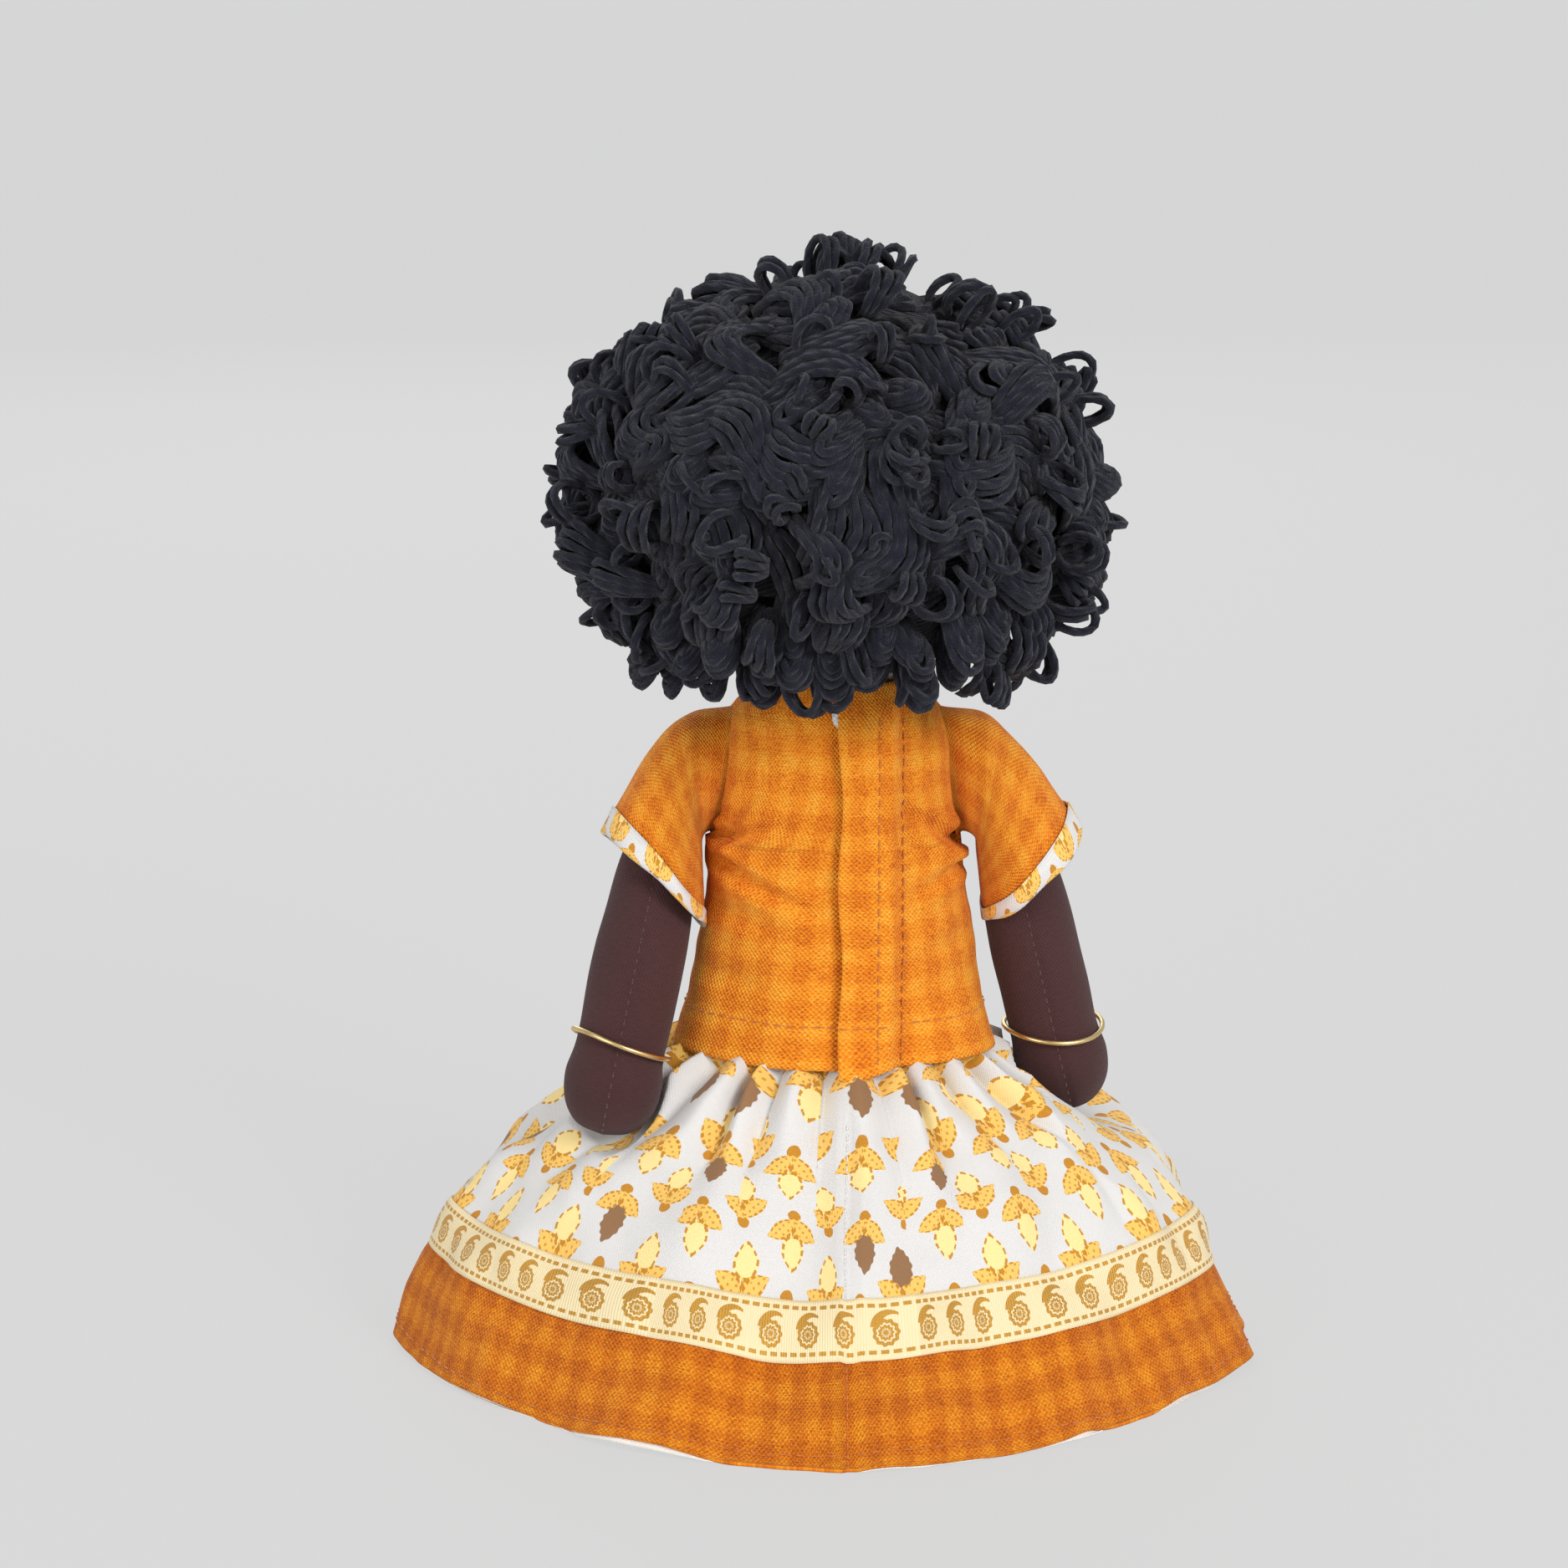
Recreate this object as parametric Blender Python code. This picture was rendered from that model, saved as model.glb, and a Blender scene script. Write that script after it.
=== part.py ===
"""Seated stuffed cloth doll with yarn hair, a checked blouse, a gathered skirt and two bangles.

The doll sits on the XY plane and faces -Y; +X is the doll's own left and +Z is up.  The origin is
the middle of the flat seat under the body.  Lengths below are in millimetres and angles in degrees.
Each cloth skin is open where it is sewn on, and its stuffing is a solid of its own inside it.
"""

import math

import bmesh
import bpy
from mathutils import Matrix, Vector

MM = 0.001
GAP = 0.35  # clearance between cloth layers that touch on the real doll

# Body
SKIN_WALL = 0.8
SEAT_HALF_WIDTH = 18.0
SEAT_HALF_DEPTH = 15.0
TORSO_RINGS = [  # half width, half depth, height
    (26.0, 20.5, 3.5),
    (30.5, 22.8, 12.0),
    (31.5, 23.4, 30.0),
    (30.3, 22.8, 60.0),
    (28.9, 21.6, 85.0),
    (27.7, 20.4, 110.0),
    (27.0, 19.4, 130.0),
    (25.2, 17.4, 146.0),
    (20.0, 15.4, 154.5),
    (14.6, 14.2, 157.5),
]
NECK_PIVOT_Z = 158.0
NECK_RADIUS = 12.0
NECK_TOP_Z = 173.0

# Head
HEAD_CENTRE_Z = 216.0
HEAD_HALF = (43.0, 38.0, 43.5)  # half width, half depth, half height
NECK_HOLE_ANGLE = 161.0  # polar angle at which the head skin stops, around the neck

# Hair, in rows sewn on around the back of the head
HAIR_CENTRE = (0.0, 4.0, 215.5)
HAIR_HALF = (62.0, 56.0, 52.5)
HAIR_ROWS = [  # name, first and last polar angle, reach to each side from the back of the head
    ("hair_row_upper", 37.0, 63.0, 148.0),
    ("hair_row_middle", 64.0, 90.0, 118.0),
    ("hair_row_lower", 91.0, 118.0, 112.0),
    ("hair_row_nape", 119.0, 148.0, 98.0),
]
CROWN_ANGLE = 36.0

# Arms, modelled hanging straight down from the shoulder and then tilted
SHOULDER = (37.5, 0.0, 144.0)
ARM_RINGS = [  # half width, half depth, distance below the shoulder
    (3.6, 7.0, -6.0),
    (4.8, 8.6, 0.0),
    (7.2, 9.6, 14.0),
    (9.4, 10.0, 28.0),
    (10.2, 10.2, 42.0),
    (10.2, 10.2, 58.0),
    (10.4, 10.3, 69.5),
    (11.9, 10.6, 77.0),
    (10.6, 9.4, 83.8),
    (6.6, 6.2, 88.2),
]
ARM_LENGTH = 90.0
ARM_OUTWARD = {"left": 11.6, "right": 13.2}
ARM_BACKWARD = {"left": 16.0, "right": -6.0}

# Bangles, round wire rings that slide on the forearm
BANGLE_RADIUS = 12.0
BANGLE_WIRE = 0.8
BANGLE_DROP = 68.3
BANGLE_TILT = {"left": -6.0, "right": -13.0}

# Sleeves: rings from the round armhole to the slanted cuff
SLEEVE_WALL = 0.8
SLEEVE_RINGS = [  # upper x and z, lower x and z, from the shoulder, and half depth
    (-3.6, 14.6, -5.6, -14.6, 14.6),
    (2.8, 11.8, -5.6, -20.5, 15.0),
    (9.2, 5.0, -5.4, -26.4, 15.2),
    (14.8, -4.4, -5.0, -32.4, 15.3),
    (19.4, -15.4, -4.4, -38.2, 15.4),
]
CUFF_START = 3.25  # where along the rings the cuff's binding begins

# Legs, which lie straight forward on the floor
HIP = (17.0, -40.0, 14.8)
LEG_RINGS = [  # half width, half height, distance forward, rise of the centre
    (6.0, 6.0, -12.4, 0.0),
    (11.0, 11.0, -8.4, 0.0),
    (13.8, 13.8, 0.0, 0.0),
    (14.2, 14.0, 20.0, -0.2),
    (13.4, 13.4, 60.0, -0.8),
    (12.4, 12.6, 95.0, -1.6),
    (12.0, 13.0, 112.0, -1.0),
    (12.6, 18.0, 122.0, 4.0),
    (12.4, 20.0, 130.0, 6.4),
    (9.0, 15.0, 137.0, 7.6),
]
LEG_REACH = 140.0
LEG_TIP_RISE = 8.0

# Blouse
BLOUSE_WALL = 0.9
BLOUSE_RINGS = [  # height, half width, half depth
    (76.5, 37.9, 28.0),
    (88.0, 35.3, 26.8),
    (100.0, 33.0, 25.6),
    (114.0, 31.2, 24.4),
    (126.0, 30.2, 23.6),
    (131.0, 30.0, 23.2),
    (137.0, 29.8, 22.8),
    (144.0, 29.4, 22.0),
    (151.0, 28.2, 20.6),
    (156.5, 26.0, 19.4),
    (160.0, 23.4, 18.6),
    (164.0, 19.8, 17.9),
    (167.0, 17.8, 17.4),
]
ARMHOLE_HALF = 13.5
ARMHOLE_LOW = 128.0
ARMHOLE_HIGH = 159.0
UNDERLAP_X = -14.0  # where the left back panel ends, under the placket
PLACKET_EDGE_X = -0.6  # free edge of the right back panel
PLACKET_LIFT = 3.2
STRIP_X = (-12.5, -3.0)
STRIP_Z = (82.0, 158.0)
STRIP_WALL = 0.5

# Skirt: rows from the waist to the hem
SKIRT_WALL = 1.1
SKIRT_ROWS = [  # side x, side z, back y, back z, front y, front z over the legs
    (32.3, 80.5, 24.8, 80.5, 24.8, 80.5),
    (35.6, 75.0, 26.6, 75.2, 26.6, 75.4),
    (39.6, 62.0, 35.5, 65.5, 35.0, 68.5),
    (44.0, 51.8, 44.5, 53.5, 47.0, 59.5),
    (62.0, 49.6, 53.0, 42.2, 66.0, 51.5),
    (78.0, 44.5, 58.5, 35.4, 78.0, 46.5),
    (89.5, 34.0, 62.5, 30.5, 86.0, 43.5),
    (95.0, 22.5, 72.0, 19.5, 98.0, 39.5),
    (100.0, 11.2, 81.5, 9.8, 108.0, 36.4),
    (104.3, 1.1, 91.0, 1.1, 117.0, 33.4),
]
LACE_ROWS = (6.0, 7.0)
TIER_JOIN = 6.5
LAP_WIDTH = (37.0, 60.0)  # the cloth over the legs comes down to the floor between these

# Facets around each kind of piece
SKIRT_COLUMNS = 44
HEAD_COLUMNS = 22
TORSO_COLUMNS = 22
LIMB_COLUMNS = 16
SLEEVE_COLUMNS = 20
BAND_STEPS = 16


def clear_scene():
    for obj in list(bpy.data.objects):
        bpy.data.objects.remove(obj, do_unlink=True)


def material(name, colour, roughness, metallic=0.0):
    found = bpy.data.materials.get(name)
    if found:
        return found
    made = bpy.data.materials.new(name)
    made.use_nodes = True
    shader = made.node_tree.nodes["Principled BSDF"]
    shader.inputs["Base Color"].default_value = (*colour, 1.0)
    shader.inputs["Roughness"].default_value = roughness
    shader.inputs["Metallic"].default_value = metallic
    made.diffuse_color = (*colour, 1.0)
    return made


COLOURS = {
    "brown_cloth": ((0.075, 0.033, 0.034), 0.9),
    "stuffing": ((0.86, 0.85, 0.82), 1.0),
    "dark_yarn": ((0.022, 0.024, 0.040), 0.9),
    "orange_check": ((0.70, 0.27, 0.035), 0.85),
    "white_print": ((0.86, 0.80, 0.66), 0.85),
    "lace_tape": ((0.80, 0.66, 0.36), 0.6),
    "white_facing": ((0.84, 0.82, 0.78), 0.85),
    "closure_tape": ((0.88, 0.88, 0.86), 0.8),
    "white_elastic": ((0.85, 0.85, 0.84), 0.8),
    "gold_wire": ((0.72, 0.52, 0.24), 0.35),
    "white_thread": ((0.85, 0.84, 0.80), 0.8),
    "black_thread": ((0.02, 0.02, 0.02), 0.7),
    "red_thread": ((0.42, 0.05, 0.05), 0.7),
}


def cloth(name):
    colour, roughness = COLOURS[name]
    return material(name, colour, roughness, 1.0 if name == "gold_wire" else 0.0)


def oval(half_x, half_y, angle, power=2.0):
    """Point of a superellipse; 0 points to +X and 90 to +Y."""
    c = math.cos(math.radians(angle))
    s = math.sin(math.radians(angle))
    x = half_x * math.copysign(abs(c) ** (2 / power), c)
    y = half_y * math.copysign(abs(s) ** (2 / power), s)
    return x, y


def smooth_step(value, low, high):
    t = min(1.0, max(0.0, (value - low) / (high - low)))
    return t * t * (3 - 2 * t)


def between(rows, place):
    """The row at a whole or part place in a list of rows."""
    first = min(int(place), len(rows) - 2)
    part = place - first
    return [a + (b - a) * part for a, b in zip(rows[first], rows[first + 1])]


def add_object(name, mesh_data, surface, parent=None):
    mesh = bpy.data.meshes.new(name)
    mesh_data.to_mesh(mesh)
    mesh_data.free()
    mesh.materials.append(cloth(surface))
    mesh.shade_smooth()
    mesh.set_sharp_from_angle(angle=math.radians(40))
    obj = bpy.data.objects.new(name, mesh)
    bpy.context.scene.collection.objects.link(obj)
    obj.parent = parent
    return obj


def sheet(name, point, columns, rows, surface, wall=0.0, cap=False, parent=None):
    """A grid whose vertices go to point(across 0 to 1, row 0 to rows), joined where they meet.

    With a wall it is thickened inwards; without one the grid itself has to close.
    """
    grid = bmesh.new()
    bmesh.ops.create_grid(grid, x_segments=columns, y_segments=rows, size=0.5)
    for vert in grid.verts:
        across = vert.co.x + 0.5
        row = (vert.co.y + 0.5) * rows
        vert.co = Vector(point(across, round(row, 4))) * MM
    bmesh.ops.remove_doubles(grid, verts=grid.verts, dist=2e-6)
    if cap:
        rim = [edge for edge in grid.edges if edge.is_boundary]
        bmesh.ops.holes_fill(grid, edges=rim, sides=0)
    bmesh.ops.recalc_face_normals(grid, faces=grid.faces)
    obj = add_object(name, grid, surface, parent)
    if wall:
        solidify = obj.modifiers.new("wall", "SOLIDIFY")
        solidify.thickness = wall * MM
        solidify.offset = -1.0
        solidify.use_even_offset = True
    return obj


def moved_out(point, distance):
    """The same surface, shifted along its normal away from the Z axis."""

    def shifted(across, row):
        step = 1e-3
        here = Vector(point(across, row))
        side = Vector(point((across + step) % 1.0, row)) - here
        back = row >= step
        along = Vector(point(across, row - step if back else row + step)) - here
        normal = side.cross(along).normalized()
        if normal.dot(Vector((here.x, here.y, 0.0))) < 0:
            normal.negate()
        return here + normal * distance

    return shifted


def shrunk_rings(rings, by):
    return [(max(a - by, 0.5), max(b - by, 0.5), *rest) for a, b, *rest in rings]


def pivot(name, place, parent=None, turn=(0.0, 0.0, 0.0)):
    empty = bpy.data.objects.new(name, None)
    bpy.context.scene.collection.objects.link(empty)
    empty.location = Vector(place) * MM
    empty.rotation_euler = [math.radians(angle) for angle in turn]
    empty.parent = parent
    return empty


# ---- body -----------------------------------------------------------------------------------


def build_torso():
    seat = [(0.0, 0.0, 0.0), (SEAT_HALF_WIDTH, SEAT_HALF_DEPTH, 0.0)]
    rings = seat + TORSO_RINGS

    def skin(across, row):
        a, b, z = rings[int(round(row))]
        x, y = oval(a, b, 360 * across, 2.2)
        return x, y, z

    sheet("torso_skin", skin, TORSO_COLUMNS, len(rings) - 1, "brown_cloth", wall=SKIN_WALL)

    inset = SKIN_WALL + GAP
    core = shrunk_rings(TORSO_RINGS[1:-2], inset)
    floor = (SEAT_HALF_WIDTH - inset, SEAT_HALF_DEPTH - inset, 1.6)
    low = (TORSO_RINGS[0][0] - 2 * inset, TORSO_RINGS[0][1] - 2 * inset, 4.6)
    core = [(0.0, 0.0, 1.6), floor, low] + core + [(0.0, 0.0, 146.0)]

    def stuffing(across, row):
        a, b, z = core[int(round(row))]
        x, y = oval(a, b, 360 * across, 2.2)
        return x, y, z

    sheet("torso_stuffing", stuffing, TORSO_COLUMNS, len(core) - 1, "stuffing")


def build_neck(parent):
    """A short stuffed tube; its lower end is a ball about the nodding axis."""
    ball = [(NECK_RADIUS * math.sin(math.radians(t)), -NECK_RADIUS * math.cos(math.radians(t)))
            for t in (0, 20, 40, 60, 78)]
    profile = ball + [(NECK_RADIUS, 0.0), (NECK_RADIUS - 0.6, 6.0), (NECK_RADIUS - 0.8, 15.0)]

    def skin(across, row):
        radius, z = profile[int(round(row))]
        x, y = oval(radius, radius, 360 * across)
        return x, y, z

    sheet("neck_skin", skin, LIMB_COLUMNS, len(profile) - 1, "brown_cloth", wall=SKIN_WALL, parent=parent)

    inset = SKIN_WALL + GAP
    inner = NECK_RADIUS - inset
    core = [(inner * math.sin(math.radians(t)), -inner * math.cos(math.radians(t)))
            for t in (0, 20, 40, 60, 78)]
    core += [(inner - 0.2, 0.0), (inner - 0.8, 6.0), (inner - 1.0, 14.6), (0.0, 14.6)]

    def stuffing(across, row):
        radius, z = core[int(round(row))]
        x, y = oval(radius, radius, 360 * across)
        return x, y, z

    sheet("neck_stuffing", stuffing, LIMB_COLUMNS, len(core) - 1, "stuffing", parent=parent)


# ---- head -----------------------------------------------------------------------------------


def on_ellipsoid(centre, half, polar, azimuth):
    """Polar angle from the top; azimuth 0 is the back of the head (+Y), positive towards +X."""
    p = math.radians(polar)
    z = centre[2] + half[2] * math.cos(p)
    x = centre[0] + half[0] * math.sin(p) * math.sin(math.radians(azimuth))
    y = centre[1] + half[1] * math.sin(p) * math.cos(math.radians(azimuth))
    return Vector((x, y, z))


def build_head(parent, base):
    centre = (0.0, 0.0, HEAD_CENTRE_Z)
    rows = 10

    def skin(across, row):
        return on_ellipsoid(centre, HEAD_HALF, NECK_HOLE_ANGLE * row / rows, 360 * across) - base

    sheet("head_skin", skin, HEAD_COLUMNS, rows, "brown_cloth", wall=SKIN_WALL, parent=parent)

    inset = SKIN_WALL + GAP
    core_half = [h - inset for h in HEAD_HALF]

    def stuffing(across, row):
        polar = NECK_HOLE_ANGLE * min(row, rows - 1) / rows
        if row >= rows:
            return Vector((0.0, 0.0, on_ellipsoid(centre, core_half, polar, 0.0).z)) - base
        return on_ellipsoid(centre, core_half, polar, 360 * across) - base

    sheet("head_stuffing", stuffing, HEAD_COLUMNS, rows, "stuffing", parent=parent)


def build_hair(parent, base):
    """Rows of looped yarn: each is a thick band around the back of the head, open at the face."""
    head_centre = (0.0, 0.0, HEAD_CENTRE_Z)
    scalp = [h + 0.5 for h in HEAD_HALF]

    for name, first, last, reach in HAIR_ROWS:
        steps = 3

        def band(across, row, first=first, last=last, reach=reach, steps=steps):
            place = round(across * 2 * (steps + 1)) % (2 * (steps + 1))
            azimuth = -reach + 2 * reach * row / BAND_STEPS
            if place <= steps:
                polar = first + (last - first) * place / steps
                return on_ellipsoid(HAIR_CENTRE, HAIR_HALF, polar, azimuth) - base
            polar = last - (last - first) * (place - steps - 1) / steps
            return on_ellipsoid(head_centre, scalp, polar, azimuth) - base

        sheet(name, band, 2 * (steps + 1), BAND_STEPS, "dark_yarn", cap=True, parent=parent)

    turns = 4

    def crown(across, row):
        if row <= turns:
            return on_ellipsoid(HAIR_CENTRE, HAIR_HALF, CROWN_ANGLE * row / turns, 360 * across) - base
        polar = CROWN_ANGLE * (2 * turns + 1 - row) / turns
        return on_ellipsoid(head_centre, scalp, polar, 360 * across) - base

    sheet("hair_crown", crown, HEAD_COLUMNS, 2 * turns + 1, "dark_yarn", parent=parent)


def face_patch(name, x, z, half_x, half_z, surface, parent, base, thick=0.7):
    """A small embroidered oval lying on the front of the head."""
    half = [h + 0.4 for h in HEAD_HALF]

    def point(across, row):
        size = (0.0, 0.6, 1.0)[int(round(row))]
        dx, dz = oval(half_x * size, half_z * size, 360 * across)
        px = (x + dx) / half[0]
        pz = (z + dz) / half[2]
        depth = half[1] * math.sqrt(max(0.0, 1 - px * px - pz * pz))
        return Vector((x + dx, -depth - thick, HEAD_CENTRE_Z + z + dz)) - base

    sheet(name, point, 12, 2, surface, wall=thick, parent=parent)


def build_face(parent, base):
    face_patch("eye_left", 14.0, -3.0, 4.4, 5.2, "black_thread", parent, base)
    face_patch("eye_right", -14.0, -3.0, 4.4, 5.2, "black_thread", parent, base)
    face_patch("brow_left", 15.0, 9.0, 6.0, 1.1, "black_thread", parent, base)
    face_patch("brow_right", -15.0, 9.0, 6.0, 1.1, "black_thread", parent, base)
    face_patch("nose_stitch", 0.0, -12.0, 1.9, 1.2, "red_thread", parent, base)
    face_patch("mouth_stitch", 0.0, -22.0, 6.0, 1.7, "red_thread", parent, base)


# ---- arms, sleeves and bangles --------------------------------------------------------------


def build_arm(side, parent):
    rings = [(0.0, 0.0, ARM_RINGS[0][2])] + ARM_RINGS + [(0.0, 0.0, ARM_LENGTH)]

    def skin(across, row):
        a, b, drop = rings[int(round(row)) + 1]
        x, y = oval(a, b, 360 * across)
        return x, y, -drop

    count = len(rings) - 2
    sheet(f"arm_{side}_skin", skin, LIMB_COLUMNS, count, "brown_cloth", wall=SKIN_WALL, parent=parent)

    core = [(0.0, 0.0, -4.6)] + shrunk_rings(ARM_RINGS, SKIN_WALL + GAP)
    core[1] = (core[1][0], core[1][1], -4.6)
    core[-1] = (core[-1][0] - 0.8, core[-1][1] - 0.8, core[-1][2] - 1.0)
    core += [(0.0, 0.0, ARM_LENGTH - 2.0)]

    def stuffing(across, row):
        a, b, drop = core[int(round(row))]
        x, y = oval(a, b, 360 * across)
        return x, y, -drop

    sheet(f"arm_{side}_stuffing", stuffing, LIMB_COLUMNS, len(core) - 1, "stuffing", parent=parent)


def sleeve_point(sign):
    """A bell from the round armhole to the slanted cuff, about the shoulder."""

    def point(across, row):
        high_x, high_z, low_x, low_z, depth = between(SLEEVE_RINGS, row)
        angle = math.radians(360 * across)
        up = 0.5 + 0.5 * math.sin(angle)
        x = low_x + (high_x - low_x) * up
        z = low_z + (high_z - low_z) * up
        return sign * x, depth * math.cos(angle), z

    return point


def build_sleeve(side, sign, parent):
    point = sleeve_point(sign)
    last = len(SLEEVE_RINGS) - 1

    def body(across, row):
        return point(across, row * CUFF_START / 4)

    sheet(f"sleeve_{side}", body, SLEEVE_COLUMNS, 4, "orange_check", wall=SLEEVE_WALL, parent=parent)

    def binding(across, row):
        start = CUFF_START + 0.05
        return point(across, start + row * (last - start))

    sheet(f"sleeve_{side}_binding", binding, SLEEVE_COLUMNS, 1, "white_facing", wall=SLEEVE_WALL, parent=parent)


def build_bangle(side, parent):
    """A closed ring of round wire, made by spinning the wire's section about the arm."""
    wire = bmesh.new()
    bmesh.ops.create_circle(wire, cap_ends=False, segments=6, radius=BANGLE_WIRE * MM)
    upright = Matrix.Rotation(math.radians(90), 3, "X")
    bmesh.ops.rotate(wire, verts=wire.verts, cent=(0, 0, 0), matrix=upright)
    bmesh.ops.translate(wire, verts=wire.verts, vec=(BANGLE_RADIUS * MM, 0, 0))
    bmesh.ops.spin(
        wire,
        geom=wire.verts[:] + wire.edges[:],
        cent=(0, 0, 0),
        axis=(0, 0, 1),
        angle=math.radians(360),
        steps=24,
        use_merge=True,
    )
    bmesh.ops.recalc_face_normals(wire, faces=wire.faces)
    bangle = add_object(f"bangle_{side}", wire, "gold_wire", parent)
    bangle.location = (0.0, 0.0, -BANGLE_DROP * MM)
    bangle.rotation_euler = (0.0, math.radians(BANGLE_TILT[side]), 0.0)


# ---- legs -----------------------------------------------------------------------------------


def build_leg(side, parent):
    def place(ring, across):
        a, b, forward, rise = ring
        x, z = oval(a, b, 360 * across, 2.1)
        return x, -forward, rise + z

    rings = LEG_RINGS + [(0.0, 0.0, LEG_REACH, LEG_TIP_RISE)]

    def skin(across, row):
        return place(rings[int(round(row))], across)

    count = len(rings) - 1
    sheet(f"leg_{side}_skin", skin, LIMB_COLUMNS, count, "brown_cloth", wall=SKIN_WALL, parent=parent)

    inset = SKIN_WALL + GAP
    core = shrunk_rings(LEG_RINGS[1:], inset)
    a, b, forward, rise = core[0]
    core[0] = (a - 0.8, b - 0.8, forward, rise)
    a, b, forward, rise = core[-1]
    core[-1] = (a - 2.4, b - 2.4, forward - 1.4, rise)
    core = [(0.0, 0.0, core[0][2], 0.0)] + core + [(0.0, 0.0, LEG_REACH - 3.0, LEG_TIP_RISE)]

    def stuffing(across, row):
        return place(core[int(round(row))], across)

    sheet(f"leg_{side}_stuffing", stuffing, LIMB_COLUMNS, len(core) - 1, "stuffing", parent=parent)


# ---- blouse ---------------------------------------------------------------------------------


def blouse_ring(z):
    heights = [ring[0] for ring in BLOUSE_RINGS]
    if z <= heights[0]:
        return BLOUSE_RINGS[0][1:]
    for low, high in zip(BLOUSE_RINGS, BLOUSE_RINGS[1:]):
        if z <= high[0]:
            part = (z - low[0]) / (high[0] - low[0])
            return [a + (b - a) * part for a, b in zip(low[1:], high[1:])]
    return BLOUSE_RINGS[-1][1:]


def side_edge(z):
    """How far the panel's edge stands off the side seam: the armhole is cut out between heights."""
    into = smooth_step(z, ARMHOLE_LOW - 4, ARMHOLE_LOW + 6)
    out = 1 - smooth_step(z, ARMHOLE_HIGH - 5, ARMHOLE_HIGH + 2)
    return GAP / 2 + ARMHOLE_HALF * min(into, out)


def edge_angle(z):
    depth = blouse_ring(z)[1]
    return math.degrees(math.asin(min(0.95, side_edge(z) / depth)))


def x_angle(x, z):
    """Angle around the blouse, on its back half, of a line down the back at this x."""
    return math.degrees(math.acos(max(-0.98, min(0.98, x / blouse_ring(z)[0]))))


def build_blouse():
    heights = [ring[0] for ring in BLOUSE_RINGS]
    rows = len(heights) - 1

    def front(across, row):
        z = heights[int(round(row))]
        start = edge_angle(z)
        x, y = oval(*blouse_ring(z), 180 + start + (180 - 2 * start) * across)
        return x, y, z

    sheet("blouse_front", front, 16, rows, "orange_check", wall=BLOUSE_WALL)

    def back_left(across, row):
        z = heights[int(round(row))]
        start = edge_angle(z)
        stop = x_angle(UNDERLAP_X, z)
        x, y = oval(*blouse_ring(z), start + (stop - start) * across)
        return x, y, z

    sheet("blouse_back_left", back_left, 10, rows, "orange_check", wall=BLOUSE_WALL)

    def back_right(across, row):
        z = heights[int(round(row))]
        start = x_angle(PLACKET_EDGE_X, z)
        stop = 180 - edge_angle(z)
        a, b = blouse_ring(z)
        angle = start + (stop - start) * across
        x, y = oval(a, b, angle)
        lift = PLACKET_LIFT * (1 - smooth_step(-x, -UNDERLAP_X + 0.5, -UNDERLAP_X + 3.4))
        x, y = oval(a + lift, b + lift, angle)
        return x, y, z

    sheet("blouse_back_right", back_right, 14, rows, "orange_check", wall=BLOUSE_WALL)

    def strip(lift):
        def point(across, row):
            z = STRIP_Z[0] + (STRIP_Z[1] - STRIP_Z[0]) * row / 8
            low, high = x_angle(STRIP_X[1], z), x_angle(STRIP_X[0], z)
            a, b = blouse_ring(z)
            x, y = oval(a + lift, b + lift, low + (high - low) * across)
            return x, y, z

        return point

    hook_top = GAP + STRIP_WALL
    loop_top = hook_top + GAP + STRIP_WALL
    sheet("closure_hook_strip", strip(hook_top), 4, 8, "closure_tape", wall=STRIP_WALL)
    sheet("closure_loop_strip", strip(loop_top), 4, 8, "closure_tape", wall=STRIP_WALL)

    def facing(across, row):
        z = 163.5 + 4.7 * row / 2
        a, b = blouse_ring(min(z, heights[-1]))
        inset = BLOUSE_WALL + GAP + 0.15
        x, y = oval(a - inset, b - inset, 360 * across)
        return x, y, z

    sheet("neckline_facing", facing, HEAD_COLUMNS, 2, "white_facing", wall=0.7)


# ---- skirt ----------------------------------------------------------------------------------


def skirt_point(across, place):
    """Point of the skirt's outer surface; place runs from 0 at the waist to 9 at the hem."""
    side_x, side_z, back_y, back_z, front_y, front_z = between(SKIRT_ROWS, place)
    angle = 360 * across
    lift = math.sin(math.radians(angle)) ** 2
    if math.sin(math.radians(angle)) >= 0:
        power = 2.0 - 0.3 * smooth_step(place, 2, 6)
        x, y = oval(side_x, back_y, angle, power)
        return x, y, side_z * (1 - lift) + back_z * lift
    x, y = oval(side_x, front_y, angle, 2.1)
    lap = 1 - smooth_step(abs(x), *LAP_WIDTH)
    lap *= smooth_step(lift, 0.0, 0.36)
    return x, y, side_z * (1 - lap) + front_z * lap


def skirt_piece(name, places, surface, wall, lift=0.0):
    surface_point = moved_out(skirt_point, lift) if lift else skirt_point

    def point(across, row):
        return surface_point(across % 1.0, places[int(round(row))])

    return sheet(name, point, SKIRT_COLUMNS, len(places) - 1, surface, wall=wall)


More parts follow.
